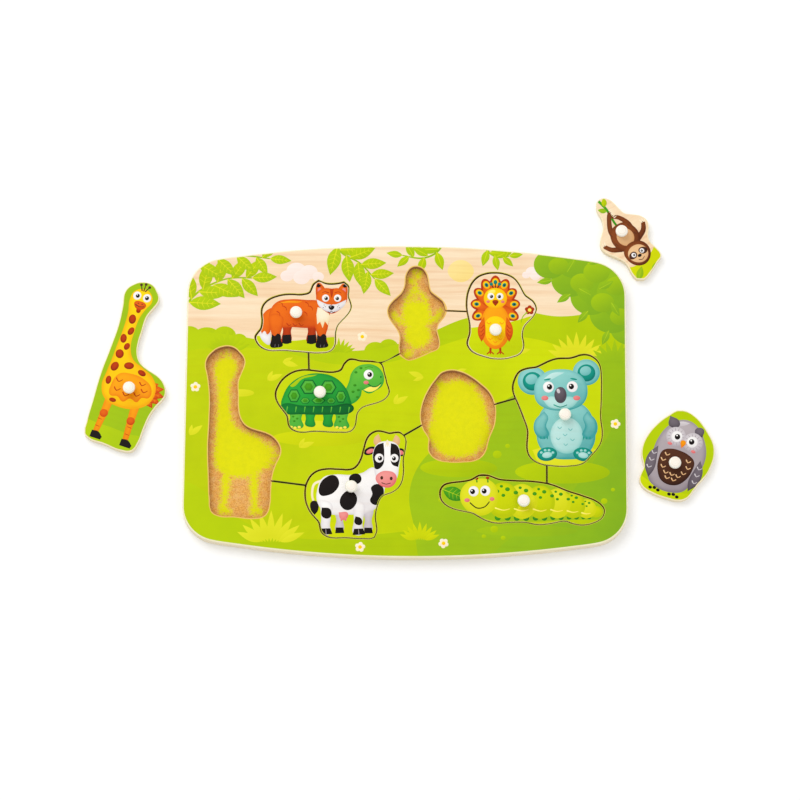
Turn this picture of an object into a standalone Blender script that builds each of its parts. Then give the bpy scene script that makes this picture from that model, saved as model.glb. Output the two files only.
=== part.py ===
"""Wooden knob puzzle: nine sawn picture pieces in a board with crowned edges.

The board is a plywood panel glued on a backing sheet. One saw cut follows each
picture and frees its piece, so a piece and its cut-out share one outline and
differ by the width of the saw blade. Straight slits join the cut-outs where the
blade went on to the next picture. Each piece carries a turned knob on a stem.
Six pieces lie in their cut-outs and three lie beside the board.
"""
import math
from collections import namedtuple

import bmesh
import bpy
from mathutils import Vector
from mathutils.geometry import intersect_line_line_2d

MM = 0.001

# Board
board_width = 300 * MM
board_depth = 220 * MM
crown_radius = 820 * MM
corner_radius = 25 * MM
backing_thickness = 3.5 * MM
panel_thickness = 5.0 * MM
glue_gap = 0.3 * MM
board_edge_chamfer = 1.0 * MM

# Saw cut and pieces
saw_kerf = 0.8 * MM
rim_chamfer = 0.35 * MM
piece_thickness = panel_thickness
piece_chamfer = 0.4 * MM
seat_gap = 0.3 * MM

# Knob
knob_radius = 4.2 * MM
knob_head_half_height = 2.9 * MM
knob_head_middle = 4.5 * MM
knob_top_angle = math.radians(44)
knob_under_angle = math.radians(-50)
knob_top_crown = 0.25 * MM
knob_neck_radius = 2.6 * MM
knob_neck_height = 1.4 * MM
knob_foot_radius = 3.0 * MM
knob_foot_gap = 0.3 * MM
stem_radius = 2.35 * MM
stem_clearance = 0.15 * MM
stem_end_gap = 0.4 * MM

# Facets
outline_step = 3.8 * MM
crown_steps = 16
corner_steps = 7
knob_sides = 16
head_steps = 7
stem_hole_sides = 16

# Heights worked out from the sizes above
panel_bottom = backing_thickness + glue_gap
panel_top = panel_bottom + panel_thickness
piece_home_bottom = backing_thickness + seat_gap

# The pictures are drawn for a board of 300 by 220 millimetres and follow its size.
drawing_across = board_width / 300
drawing_along = board_depth / 220
drawing_scale = min(drawing_across, drawing_along)

# A piece has its knob at the origin of its outline. home is where the knob stands
# on the board, and lying is where it stands on the table, with the piece's turn
# in degrees, or None for a piece in its cut-out.
Piece = namedtuple("Piece", "name home lying colour outline")

PIECES = [
    Piece("ostrich", (-110, -40), (-188.0, 7.0, -17.0), (0.80, 0.66, 0.05), [
        (-15.5, 76), (-8.5, 76), (-4, 72.5), (-0.5, 66.5), (-2, 60), (-4.5, 53), (-4.5, 42),
        (-4, 32), (-2.5, 26), (1.5, 20.5), (8, 17.5), (16, 15), (22, 10.5), (25, 3), (22, -5),
        (19.5, -13), (18.5, -24), (18, -34.5), (15.5, -41), (9, -43), (-5, -42), (-15, -41.5),
        (-19.5, -39), (-21, -31), (-22, -15), (-23, 5), (-22.5, 25), (-22.5, 42), (-24, 55),
        (-25.5, 66), (-21.5, 72.5)]),
    Piece("fox", (-75.5, 60.5), None, (0.85, 0.25, 0.05), [
        (-13.5, 12.5), (-5, 14), (4.5, 14), (9, 15.5), (11.5, 21), (15, 24), (20, 22), (28, 22),
        (32.5, 23), (35.5, 20), (35.5, 13), (37.5, 5), (33.5, -2), (28.5, -8), (27, -15),
        (27, -21), (24, -26), (18, -27.5), (5, -27), (-8, -26), (-20, -25.5), (-26, -21),
        (-27.5, -16.5), (-24, -11), (-23, -5), (-23.5, 2), (-21.5, 7.5)]),
    Piece("tortoise", (-58.5, 4), None, (0.12, 0.50, 0.12), [
        (-13.5, 16.5), (-6, 16.5), (3, 15.5), (10, 15.5), (14, 17), (16.5, 21.5), (20, 24.5),
        (27, 23.5), (36, 23), (41, 22), (43.5, 15.5), (45.5, 7.5), (47, 1), (44, -3.5), (36, -7),
        (29, -9.5), (25.5, -14), (24.5, -21), (21.5, -26), (14, -27), (-2, -26.5), (-16, -26.5),
        (-20.5, -23), (-22, -16), (-27, -9), (-30, -2), (-28.5, 5), (-22, 13)]),
    Piece("sloth", (6, 65.5), (147.5, 121.5, 32.0), (0.42, 0.20, 0.08), [
        (-0.5, 29), (4, 28), (7, 24), (8.5, 17), (10, 11.5), (14, 8), (18.5, 4), (20.5, -1),
        (19, -6), (15, -11.5), (14, -16), (15.5, -22.5), (15, -28.5), (10, -31), (1.5, -35),
        (-5, -36.5), (-9.5, -33.5), (-10, -28), (-9.5, -20.5), (-12, -14.5), (-16.5, -8),
        (-18, -1.5), (-14.5, 4.5), (-9, 10), (-6.5, 16), (-6, 22.5), (-3.5, 27.5)]),
    Piece("peacock", (60.5, 49), None, (0.90, 0.35, 0.03), [
        (-1, 42), (7, 41), (13, 38), (17, 32.5), (20.5, 26), (26, 21.5), (28, 16.5),
        (25.5, 10.5), (20, 4), (18.5, -3), (19.5, -9.5), (17.5, -15), (12, -18), (2, -19.5),
        (-7, -18), (-16.5, -13.5), (-19, -9), (-17.5, -2), (-17.5, 6), (-19, 13.5), (-19.5, 21),
        (-17.5, 31), (-13, 38), (-7.5, 41)]),
    Piece("owl", (36, -18), (182.0, -43.0, -20.5), (0.45, 0.42, 0.42), [
        (-6, 38.5), (1, 37.5), (8, 34), (15, 28.5), (20, 23.5), (23.5, 15.5), (24, 7), (23, 0),
        (20, -7.5), (18.5, -13), (16.5, -19), (12, -23), (4, -24.5), (-8, -24.5), (-15.5, -22.5),
        (-19.5, -17.5), (-19.5, -9), (-23, -3), (-25, 3.5), (-24.5, 13), (-20.5, 24),
        (-15, 32.5), (-11, 37)]),
    Piece("koala", (107.5, -10.5), None, (0.25, 0.62, 0.58), [
        (-30, 31.5), (-25, 33.5), (-19, 34.5), (-12, 38), (-5, 40.5), (4, 41), (14, 43.5),
        (20, 41.5), (24, 36.5), (25, 30), (25, 12), (24.5, -1), (25.5, -13), (24, -19.5),
        (18, -27.5), (12.5, -33), (4, -35), (-8, -35), (-18, -33), (-24, -28), (-25.5, -20),
        (-25, -11), (-28, -1), (-32, 9.5), (-35, 18), (-34, 25)]),
    Piece("inchworm", (79.5, -71), None, (0.62, 0.70, 0.02), [
        (-49.5, 13), (-42, 14), (-35, 15.5), (-29.5, 18.5), (-24, 18.5), (-17, 16), (-7, 15),
        (6, 14.5), (18.5, 12.5), (30, 8), (42, 4), (50, 0.5), (54.5, -5), (53.5, -9.5),
        (47, -14), (38, -15.5), (33, -14.5), (28.5, -13), (19, -14.5), (10.5, -15.5), (1, -14),
        (-8, -14), (-19, -14.5), (-27, -12), (-34, -8), (-43, -6), (-51, -3), (-55.5, 2),
        (-56, 7.5), (-53.5, 11.5)]),
    Piece("cow", (-36.5, -62), None, (0.80, 0.78, 0.76), [
        (17.5, 40), (25.5, 38.5), (32.5, 39), (36, 36), (36.5, 29.5), (35, 20.5), (35, 9.5),
        (32.5, 1.5), (27, -3), (21, -5.5), (18, -11.5), (16.5, -20.5), (17.5, -29.5),
        (16, -34), (9, -35), (-3, -34.5), (-15, -34), (-19.5, -31), (-21.5, -24),
        (-26.5, -18), (-30, -11), (-31, -2.5), (-29.5, 4.5), (-25, 10.5), (-18, 13),
        (-7, 13), (1, 13.5), (5.5, 18.5), (8.5, 28.5), (11.5, 36.5)]),
]

# A slit joins two cut-outs. Each end lies on the outline of the piece named
# before it, and is measured from that piece's knob.
Slit = namedtuple("Slit", "piece end next_piece next_end")

SLITS = [
    Slit("fox", (9, -27), "tortoise", (-7.5, 16.5)),
    Slit("tortoise", (41, 22), "sloth", (-9.5, -32.5)),
    Slit("sloth", (20, -2), "peacock", (-19, 14)),
    Slit("ostrich", (19, -17.5), "cow", (-30.5, 1.5)),
    Slit("cow", (35.5, 37), "owl", (-24.5, 0.5)),
    Slit("owl", (23.5, 15), "koala", (-33, 12)),
    Slit("koala", (-12, -35), "inchworm", (16, 13)),
]

ply_colour = (0.72, 0.78, 0.05)
backing_colour = (0.55, 0.38, 0.24)
knob_colour = (0.90, 0.86, 0.76)


def clear_scene():
    """Removes every object and the meshes and curves that they used."""
    for thing in list(bpy.data.objects):
        bpy.data.objects.remove(thing, do_unlink=True)
    for store in (bpy.data.meshes, bpy.data.curves):
        for block in list(store):
            store.remove(block)


def new_collection(name):
    """Makes a collection in the scene."""
    group = bpy.data.collections.new(name)
    bpy.context.scene.collection.children.link(group)
    return group


def new_material(name, colour, roughness):
    """Makes a material with one colour and one roughness."""
    material = bpy.data.materials.new(name)
    material.use_nodes = True
    shader = material.node_tree.nodes["Principled BSDF"]
    shader.inputs["Base Color"].default_value = (*colour, 1.0)
    shader.inputs["Roughness"].default_value = roughness
    shader.inputs["Metallic"].default_value = 0.0
    return material


def smooth_loop(points, step):
    """Closed smooth curve through the points, cut into straight steps.

    At each point the curve follows the line that halves the turn there, and its
    two handles are 0.39 of the stretches beside it, which rounds like an arc.
    """
    handle_share = 0.39
    knots = list(points)
    count = len(knots)
    tangents = []
    for i, knot in enumerate(knots):
        before = (knot - knots[i - 1]).normalized()
        after = (knots[(i + 1) % count] - knot).normalized()
        tangents.append((before + after).normalized())
    loop = []
    for i, start in enumerate(knots):
        end = knots[(i + 1) % count]
        reach = (end - start).length * handle_share
        handle_a = start + tangents[i] * reach
        handle_b = end - tangents[(i + 1) % count] * reach
        steps = max(1, round((end - start).length / step))
        for k in range(steps):
            t = k / steps
            s = 1 - t
            loop.append(s**3 * start + 3 * s * s * t * handle_a + 3 * s * t * t * handle_b + t**3 * end)
    return loop


def grown_loop(loop, distance):
    """Moves a closed loop outwards by the distance, or inwards if it is negative."""
    count = len(loop)
    area = sum(loop[i - 1].cross(loop[i]) for i in range(count))
    side = 1 if area > 0 else -1
    grown = []
    for i, point in enumerate(loop):
        before = (point - loop[i - 1]).normalized()
        after = (loop[(i + 1) % count] - point).normalized()
        along = (before + after).normalized()
        outward = Vector((along.y, -along.x)) * side
        stretch = max(along.dot(after), 0.5)
        grown.append(point + outward * (distance / stretch))
    return grown


def board_loop():
    """Outline of the board: straight sides, crowned ends and round corners."""
    half_width = board_width / 2
    crown_centre = board_depth / 2 - crown_radius
    corner_x = half_width - corner_radius
    corner_y = crown_centre + math.sqrt((crown_radius - corner_radius)**2 - corner_x**2)
    crown_angle = math.atan2(corner_x, corner_y - crown_centre)
    quarter = []
    for k in range(crown_steps // 2):
        angle = crown_angle * 2 * k / crown_steps
        quarter.append((crown_radius * math.sin(angle), crown_centre + crown_radius * math.cos(angle)))
    for k in range(corner_steps + 1):
        angle = crown_angle + (math.pi / 2 - crown_angle) * k / corner_steps
        quarter.append((corner_x + corner_radius * math.sin(angle), corner_y + corner_radius * math.cos(angle)))
    right = quarter + [(x, -y) for x, y in reversed(quarter)]
    left = [(-x, y) for x, y in reversed(right[1:-1])]
    return [Vector(point) for point in right + left]


def drawn_place(x, y):
    """Place in the scene of a point of the drawing."""
    return Vector((x * drawing_across, y * drawing_along))


def home_of(piece):
    """Place of the knob on the board."""
    return drawn_place(*piece.home)


def from_knob(point):
    """Step from a knob to a point that is measured from it."""
    return Vector(point) * drawing_scale


def saw_line(piece):
    """Middle of the saw cut round a piece, with the knob at the origin."""
    return smooth_loop([from_knob(point) for point in piece.outline], outline_step)


def flat_outline(name, loops, thickness):
    """Closed plate from a 2D curve: the first loop is its border, the rest are holes."""
    curve = bpy.data.curves.new(name, "CURVE")
    curve.dimensions = "2D"
    curve.fill_mode = "BOTH"
    curve.extrude = thickness / 2
    for loop in loops:
        spline = curve.splines.new("POLY")
        spline.points.add(len(loop) - 1)
        for point, place in zip(spline.points, loop):
            point.co = (place.x, place.y, 0.0, 1.0)
        spline.use_cyclic_u = True
    drawn = bpy.data.objects.new(name, curve)
    bpy.context.scene.collection.objects.link(drawn)
    bpy.context.view_layer.update()
    graph = bpy.context.evaluated_depsgraph_get()
    mesh = bpy.data.meshes.new_from_object(drawn.evaluated_get(graph))
    bpy.data.objects.remove(drawn, do_unlink=True)
    shape = bmesh.new()
    shape.from_mesh(mesh)
    bmesh.ops.remove_doubles(shape, verts=shape.verts, dist=0.00001)
    bmesh.ops.dissolve_limit(shape, angle_limit=0.001, verts=[], edges=shape.edges)
    bmesh.ops.recalc_face_normals(shape, faces=shape.faces)
    bmesh.ops.translate(shape, verts=shape.verts, vec=(0, 0, thickness / 2))
    shape.to_mesh(mesh)
    shape.free()
    mesh.name = name
    return mesh


def place_part(name, mesh, group, material, place=(0, 0, 0), turn=0.0):
    """Makes an object with its own material, turned about its upright axis."""
    part = bpy.data.objects.new(name, mesh)
    mesh.materials.clear()
    mesh.materials.append(material)
    part.location = place
    part.rotation_euler = (0, 0, turn)
    group.objects.link(part)
    return part


def chamfer_edges(part, width, heights, border=None):
    """Chamfers the edges round the flat faces at the given heights of the mesh.

    With a border, a loop and its own width, the edges on that loop take the width
    of the border.
    """
    mesh = part.data
    widest = max(width, border[1]) if border else width
    weights = mesh.attributes.new("bevel_weight_edge", "FLOAT", "EDGE")
    shape = bmesh.new()
    shape.from_mesh(mesh)
    layer = shape.edges.layers.float.get(weights.name)
    for edge in shape.edges:
        level = all(min(abs(v.co.z - h) for h in heights) < 1e-6 for v in edge.verts)
        corner = edge.calc_face_angle(0.0) > math.radians(60)
        on_border = border is not None and all(
            any((v.co.xy - point).length < 1e-6 for point in border[0]) for v in edge.verts)
        own_width = border[1] if on_border else width
        edge[layer] = own_width / widest if level and corner else 0.0
    shape.to_mesh(mesh)
    shape.free()
    bevel = part.modifiers.new("Chamfer", "BEVEL")
    bevel.limit_method = "WEIGHT"
    bevel.width = widest
    bevel.segments = 1
    bevel.use_clamp_overlap = False


def cut_with(part, cutter, name):
    """Takes the cutter's space out of the part."""
    cut = part.modifiers.new(name, "BOOLEAN")
    cut.operation = "DIFFERENCE"
    cut.solver = "EXACT"
    cut.object = cutter


def as_cutter(thing, group):
    """Marks an object as a guide that is not part of the model."""
    thing.hide_render = True
    thing.display_type = "WIRE"
    for owner in list(thing.users_collection):
        owner.objects.unlink(thing)
    group.objects.link(thing)
    return thing


def shade_round(part, angle=35):
    """Shades curved faces smooth and keeps the edges that turn sharply."""
    part.data.shade_smooth()
    part.data.set_sharp_from_angle(angle=math.radians(angle))


def build_backing(group):
    """Sheet under the panel. It closes the cut-outs from below."""
    mesh = flat_outline("backing_board", [board_loop()], backing_thickness)
    material = new_material("backing_board", backing_colour, 0.8)
    backing = place_part("backing_board", mesh, group, material)
    chamfer_edges(backing, board_edge_chamfer, [0.0])
    return backing


def nearest_crossing(loop, start, along):
    """First place where a line from start along a direction meets a closed loop.

    Returns how far round the loop it lies, counted in points, and the place.
    """
    far = start + along * board_width
    found = []
    for i, a in enumerate(loop):
        b = loop[(i + 1) % len(loop)]
        place = intersect_line_line_2d(start, far, a, b)
        if place is not None:
            found.append(((place - start).length, i + (place - a).length / (b - a).length, place))
    return min(found)[1:]


def slit_mouths(loops, pieces):
    """Where each slit enters the cut-outs that it joins.

    For each piece, maps the next piece's name to the mouth's first and last place
    round its loop. The loops run clockwise, so the first is on the left hand of
    someone who leaves the cut-out.
    """
    mouths = {name: {} for name in loops}
    for slit in SLITS:
        here = home_of(pieces[slit.piece]) + from_knob(slit.end)
        there = home_of(pieces[slit.next_piece]) + from_knob(slit.next_end)
        middle = (here + there) / 2
        along = (there - here).normalized()
        for name, other, leaving in ((slit.piece, slit.next_piece, along), (slit.next_piece, slit.piece, -along)):
            left = Vector((-leaving.y, leaving.x)) * (saw_kerf / 2)
            first = nearest_crossing(loops[name], middle + left, -leaving)
            last = nearest_crossing(loops[name], middle - left, -leaving)
            mouths[name][other] = (first, last)
    return mouths


def stretch_of(loop, start, end):
    """Points of a closed loop between two places round it, clear of both."""
    least = 0.2
    if end <= start:
        end += len(loop)
    return [loop[i % len(loop)] for i in range(math.ceil(start + least), math.floor(end - least) + 1)]


def saw_path(name, came_from, loops, mouths):
    """Path of the saw round a cut-out and through the slits to the next ones."""
    loop = loops[name]
    if came_from is None:
        here, path = 0.0, [loop[0]]
        end = len(loop)
    else:
        (end, way_out), (here, way_in) = mouths[name][came_from]
        path = [way_in]
    begin = here
    onward = [other for other in mouths[name] if other != came_from]
    onward.sort(key=lambda other: (mouths[name][other][0][0] - begin) % len(loop))
    for other in onward:
        first, last = mouths[name][other]
        path += stretch_of(loop, here, first[0])
        path.append(first[1])
        path += saw_path(other, name, loops, mouths)
        path.append(last[1])
        here = last[0]
    path += stretch_of(loop, here, end)
    if came_from is not None:
        path.append(way_out)
    return path


def pieces_reached(name, came_from, mouths):
    """Names of a piece and of those that its slits lead to."""
    reached = [name]
    for other in mouths[name]:
        if other != came_from:
            reached += pieces_reached(other, name, mouths)
    return reached


def build_panel(group, pieces):
    """Panel with the cut-outs of the pieces and the slits that join them."""
    loops = {}
    for piece in PIECES:
        cut_out = grown_loop(saw_line(piece), saw_kerf / 2)
        loops[piece.name] = [home_of(piece) + point for point in cut_out]
    mouths = slit_mouths(loops, pieces)
    outlines = [board_loop()]
    done = set()
    for piece in PIECES:
        if piece.name not in done:
            outlines.append(saw_path(piece.name, None, loops, mouths))
            done.update(pieces_reached(piece.name, None, mouths))
    mesh = flat_outline("frame_panel", outlines, panel_thickness)
    material = new_material("frame_panel", ply_colour, 0.5)
    panel = place_part("frame_panel", mesh, group, material, (0, 0, panel_bottom))
    chamfer_edges(panel, rim_chamfer, [panel_thickness], (board_loop(), board_edge_chamfer))
    return panel


def knob_profile():
    """Turned outline of a knob, from the top of its head down to its stem's end.

    Height zero is the face of the piece that carries it.
    """
    points = []
    for k in range(head_steps + 1):
        angle = knob_top_angle + (knob_under_angle - knob_top_angle) * k / head_steps
        points.append((knob_radius * math.cos(angle),
                       knob_head_middle + knob_head_half_height * math.sin(angle)))
    head_top = points[0][1] + knob_top_crown
    points.insert(0, (0.0, head_top))
    points.append((knob_neck_radius, knob_neck_height))
    points.append((knob_foot_radius, knob_foot_gap))
    points.append((stem_radius, knob_foot_gap))
    stem_end = stem_end_gap - piece_thickness
    points.append((stem_radius, stem_end))
    points.append((0.0, stem_end))
    return points


def build_knob_mesh():
    """Open profile whose Screw modifier turns it into a knob."""
    profile = knob_profile()
    mesh = bpy.data.meshes.new("knob_profile")
    mesh.from_pydata([(x, 0.0, z) for x, z in profile], [(i, i + 1) for i in range(len(profile) - 1)], [])
    return mesh


def build_knob(piece, profile_mesh, group, place):
    """Knob that stands on a piece, with its stem in the piece's hole."""
    name = f"{piece.name}_knob"
    knob = place_part(name, profile_mesh.copy(), group, new_material(name, knob_colour, 0.35), place)
    turned = knob.modifiers.new("Turned", "SCREW")
    turned.steps = knob_sides
    turned.render_steps = knob_sides
    turned.use_merge_vertices = True
    turned.merge_threshold = 0.00001
    turned.use_smooth_shade = True
    return knob


def build_stem_cutter(piece, cutters):
    """Drill for the knob's stem, right through the piece."""
    bpy.ops.mesh.primitive_cylinder_add(vertices=stem_hole_sides, radius=stem_radius + stem_clearance,
                                        depth=piece_thickness * 2)
    drill = bpy.context.active_object
    drill.name = f"{piece.name}_stem_drill"
    return as_cutter(drill, cutters)


def build_piece(piece, group, cutters, profile_mesh):
    """Sawn piece and its knob, in the cut-out or lying beside the board."""
    if piece.lying is None:
        place = Vector((*home_of(piece), piece_home_bottom))
        turn = 0.0
    else:
        x, y, degrees = piece.lying
        place = Vector((*drawn_place(x, y), 0.0))
        turn = math.radians(degrees)
    name = f"{piece.name}_piece"
    mesh = flat_outline(name, [grown_loop(saw_line(piece), -saw_kerf / 2)], piece_thickness)
    part = place_part(name, mesh, group, new_material(name, piece.colour, 0.5), place, turn)
    chamfer_edges(part, piece_chamfer, [0.0, piece_thickness])
    drill = build_stem_cutter(piece, cutters)
    drill.location = place + Vector((0, 0, piece_thickness / 2))
    drill.rotation_euler = (0, 0, turn)
    cut_with(part, drill, "Stem hole")
    top = place + Vector((0, 0, piece_thickness))
    knob = build_knob(piece, profile_mesh, group, top)
    knob.rotation_euler = (0, 0, turn)
    return part, knob


def main():
    """Builds the board, the pieces and their knobs."""
    clear_scene()
    group = new_collection("knob_puzzle")
    cutters = new_collection("cutters")
    pieces = {piece.name: piece for piece in PIECES}
    backing = build_backing(group)
    panel = build_panel(group, pieces)
    profile_mesh = build_knob_mesh()
    parts = [backing, panel]
    for piece in PIECES:
        parts.extend(build_piece(piece, group, cutters, profile_mesh))
    for part in parts:
        shade_round(part)
    bpy.context.view_layer.update()


main()
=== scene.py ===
"""Looks of the wooden knob puzzle: a printed board, nine sawn pieces and their knobs."""

import logging
from dataclasses import dataclass, field
from enum import Enum
from math import atan2, cos, degrees, hypot, inf, pi, radians, sin, tau

import bmesh
import bpy
import numpy as np
from mathutils import Matrix, Vector
from mathutils.geometry import delaunay_2d_cdt


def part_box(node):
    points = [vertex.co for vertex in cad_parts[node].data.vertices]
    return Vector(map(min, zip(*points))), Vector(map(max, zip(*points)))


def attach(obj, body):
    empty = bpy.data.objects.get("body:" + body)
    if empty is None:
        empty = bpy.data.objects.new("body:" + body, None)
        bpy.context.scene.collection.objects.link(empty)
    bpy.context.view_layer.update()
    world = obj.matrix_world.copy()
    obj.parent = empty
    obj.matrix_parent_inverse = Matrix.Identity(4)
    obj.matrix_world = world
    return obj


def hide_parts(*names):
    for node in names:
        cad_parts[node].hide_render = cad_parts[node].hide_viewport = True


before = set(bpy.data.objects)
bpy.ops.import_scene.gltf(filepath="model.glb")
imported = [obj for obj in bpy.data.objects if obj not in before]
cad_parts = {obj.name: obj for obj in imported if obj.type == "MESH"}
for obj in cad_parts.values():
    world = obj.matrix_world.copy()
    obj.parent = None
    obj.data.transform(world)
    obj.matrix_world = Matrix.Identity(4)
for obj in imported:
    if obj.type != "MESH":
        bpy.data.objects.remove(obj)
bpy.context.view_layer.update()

LOG = logging.getLogger("knob_puzzle")
MM = 0.001
WHITE = (1.0, 1.0, 1.0, 1.0)

Point = tuple[float, float]
Loop = list[Vector]
Socket = bpy.types.NodeSocket
Group = bpy.types.ShaderNodeTree
Value = float | tuple[float, ...] | Socket
Inputs = dict[str | int, Value]
Array = np.ndarray


def linear(code: str) -> tuple[float, float, float, float]:
    """Turns a colour written as on a paint chart into the renderer's linear numbers.

    Args:
        code: Six hexadecimal digits, red first.

    Returns:
        The red, green, blue and alpha values.
    """
    parts = [int(code[i:i + 2], 16) / 255 for i in (0, 2, 4)]
    values = [p / 12.92 if p <= 0.04045 else ((p + 0.055) / 1.055)**2.4 for p in parts]
    return (values[0], values[1], values[2], 1.0)


# Finishes


class Ink(Enum):
    """The printer's inks. Each has its colour and the tone it deepens to."""

    BARE = ("FAE5C4", "F3D5A9")
    CREAM = ("FDF4DA", "F0DCAE")
    WHITE = ("FDFBF8", "CFC9CC")
    BLACK = ("1B1412", "080505")
    LIME = ("CCDB00", "A6BA00")
    PALE_LIME = ("D2DA00", "B8C600")
    YELLOW_GREEN = ("E2E227", "CFD310")
    GRASS = ("A2C410", "84AE1A")
    LEAF = ("93BC18", "70A220")
    LEAF_LINE = ("BAD426", "A3C41E")
    FERN = ("B4CE08", "94B80C")
    CLOUD = ("FCEFE8", "F3DFD2")
    SUN = ("FBE79A", "F6DA80")
    GREEN = ("2BAA3A", "0C7A2C")
    DEEP_GREEN = ("0F7A30", "065022")
    MINT = ("66C03C", "289A38")
    ORANGE = ("EE7014", "C43E0A")
    DEEP_ORANGE = ("C8420C", "8E2406")
    AMBER = ("FBAA0E", "E8790A")
    YELLOW = ("FCDC08", "F2A806")
    PALE_YELLOW = ("FFF27A", "F9DC3A")
    BROWN = ("8C4A22", "532410")
    DARK_BROWN = ("54301F", "2E170F")
    TAN = ("F0C896", "D39C66")
    GREY = ("B9AFB2", "857A84")
    PALE_GREY = ("DAD4D6", "B2A9B0")
    DARK_GREY = ("7A7078", "4E464E")
    TEAL = ("92D2CC", "3E9C9C")
    PALE_TEAL = ("C6E9E4", "84C6C0")
    DEEP_TEAL = ("14A08C", "066A62")
    PINK = ("F4A09A", "DC6468")
    SPOT_GREEN = ("4FA616", "2A7E1C")
    # Bare wood round the empty cut-outs, brightened as a painted highlight of their lit edges.
    WORN = ("EDCB62", "E4A94C")
    FIELD = ("B8CF00", "98B604")


@dataclass
class NodeWriter:
    """Adds nodes to a node tree and links them by name."""

    tree: bpy.types.NodeTree

    def feed(self, node: bpy.types.Node, values: Inputs) -> None:
        """Sets a node's inputs, or links them to outputs of others.

        Args:
            node: The node.
            values: Values or output sockets, by the input's name or number.
        """
        for key, value in values.items():
            if isinstance(value, Socket):
                self.tree.links.new(value, node.inputs[key])
            else:
                node.inputs[key].default_value = value

    def node(self, kind: str, values: Inputs | None = None, **settings: object) -> bpy.types.Node:
        """Adds a node.

        Args:
            kind: The node's type name after the words that all of them share.
            values: Values or output sockets, by the input's name or number.
            **settings: Properties of the node.

        Returns:
            The new node.
        """
        made = self.tree.nodes.new(f"ShaderNode{kind}")
        for key, value in settings.items():
            setattr(made, key, value)
        self.feed(made, values or {})
        return made

    def own(self) -> Socket:
        """Gives a piece's own coordinates, as they were before its turn."""
        return self.node("Attribute", attribute_name="own").outputs["Vector"]

    def math(self, operation: str, a: Value, b: Value = 0.0, clamp: bool = False) -> Socket:
        """Adds a Math node and gives its result."""
        return self.node("Math", {0: a, 1: b}, operation=operation, use_clamp=clamp).outputs[0]

    def times(self, a: Value, b: Value) -> Socket:
        """Multiplies two values."""
        return self.math("MULTIPLY", a, b)

    def off(self, value: Value, middle: float) -> Socket:
        """Gives how far a value lies from a middle one."""
        return self.math("ABSOLUTE", self.math("SUBTRACT", value, middle))

    def mix(self, share: Value, a: Value, b: Value, blend: str = "MIX") -> Socket:
        """Mixes two colours and gives the result."""
        return self.node("Mix", {0: share, 6: a, 7: b}, data_type="RGBA", blend_type=blend).outputs[2]

    def spread(self, value: Value, low: float, high: float, start: float = 0.0, stop: float = 1.0) -> Socket:
        """Maps a range of a value to another range, held at its ends."""
        values = {0: value, 1: low, 2: high, 3: start, 4: stop}
        return self.node("MapRange", values, clamp=True).outputs[0]

    def stretch(self, place: Value, factors: tuple[float, float, float]) -> Socket:
        """Multiplies a place by a factor along each axis."""
        return self.node("VectorMath", {0: place, 1: factors}, operation="MULTIPLY").outputs[0]

    def noise(self, place: Value, scale: float, detail: float = 2.0, rough: float = 0.5,
              bent: float = 0.0) -> Socket:
        """Adds a noise texture and gives its value."""
        values = {"Vector": place, "Scale": scale, "Detail": detail, "Roughness": rough, "Distortion": bent}
        return self.node("TexNoise", values).outputs[0]

    def bump(self, height: Value, strength: float, distance: float) -> Socket:
        """Turns a height into a normal."""
        return self.node("Bump", {"Height": height, "Strength": strength, "Distance": distance}).outputs[0]

    def dress(self, values: Inputs) -> None:
        """Sets or links the inputs of the material's shader."""
        self.feed(self.tree.nodes["Principled BSDF"], values)


def new_group(name: str, inputs: dict[str, float | tuple], outputs: dict[str, str]) -> Group:
    """Makes an empty shader node group with named sockets.

    Args:
        name: The group's name.
        inputs: Each input's name and default: a number, a colour, or () for a vector.
        outputs: Each output's name and its kind, Float or Color.

    Returns:
        The node group with its input and output nodes in place.
    """
    group = bpy.data.node_groups.new(name, "ShaderNodeTree")
    for label, value in inputs.items():
        kind = "Vector" if value == () else "Color" if isinstance(value, tuple) else "Float"
        socket = group.interface.new_socket(label, in_out="INPUT", socket_type=f"NodeSocket{kind}")
        if value != ():
            socket.default_value = value
    for label, kind in outputs.items():
        group.interface.new_socket(label, in_out="OUTPUT", socket_type=f"NodeSocket{kind}")
    group.nodes.new("NodeGroupInput").name = "In"
    group.nodes.new("NodeGroupOutput").name = "Out"
    return group


def build_grain_group() -> Group:
    """Writes wood fibres and growth lines that run along the X axis.

    Returns:
        A group that puts out a Band mask, a Fibre mask, a Line mask and a Height.
    """
    outputs = dict.fromkeys(("Band", "Fibre", "Line", "Height"), "Float")
    group = new_group("Wood grain", {"Vector": (), "Band scale": 1.0}, outputs)
    w = NodeWriter(group)
    place = group.nodes["In"].outputs
    long = w.stretch(place["Vector"], (6.0, 130.0, 60.0))
    banded = w.node("VectorMath", {0: long, "Scale": place["Band scale"]}, operation="SCALE").outputs[0]
    band = w.spread(w.noise(banded, 1.0, 4.0, bent=0.5), 0.36, 0.66)
    fine = w.stretch(place["Vector"], (70.0, 2600.0, 900.0))
    fibre = w.spread(w.noise(fine, 1.0, 4.0, 0.65), 0.35, 0.70)
    drawn = w.stretch(place["Vector"], (0.16, 1.0, 0.4))
    wave = w.node("TexWave", {"Vector": drawn, "Scale": 60.0, "Distortion": 11.0, "Detail": 3.0,
                              "Detail Scale": 0.50, "Detail Roughness": 0.60},
                  wave_type="BANDS", bands_direction="Y")
    patchy = w.spread(w.noise(drawn, 34.0), 0.42, 0.66, 0.10, 1.0)
    line = w.times(w.spread(wave.outputs["Fac"], 0.50, 1.0), patchy)
    height = w.math("ADD", w.times(band, 0.3), w.times(fibre, 0.7))
    w.feed(group.nodes["Out"], {"Band": band, "Fibre": fibre, "Line": line, "Height": height})
    return group


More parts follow.
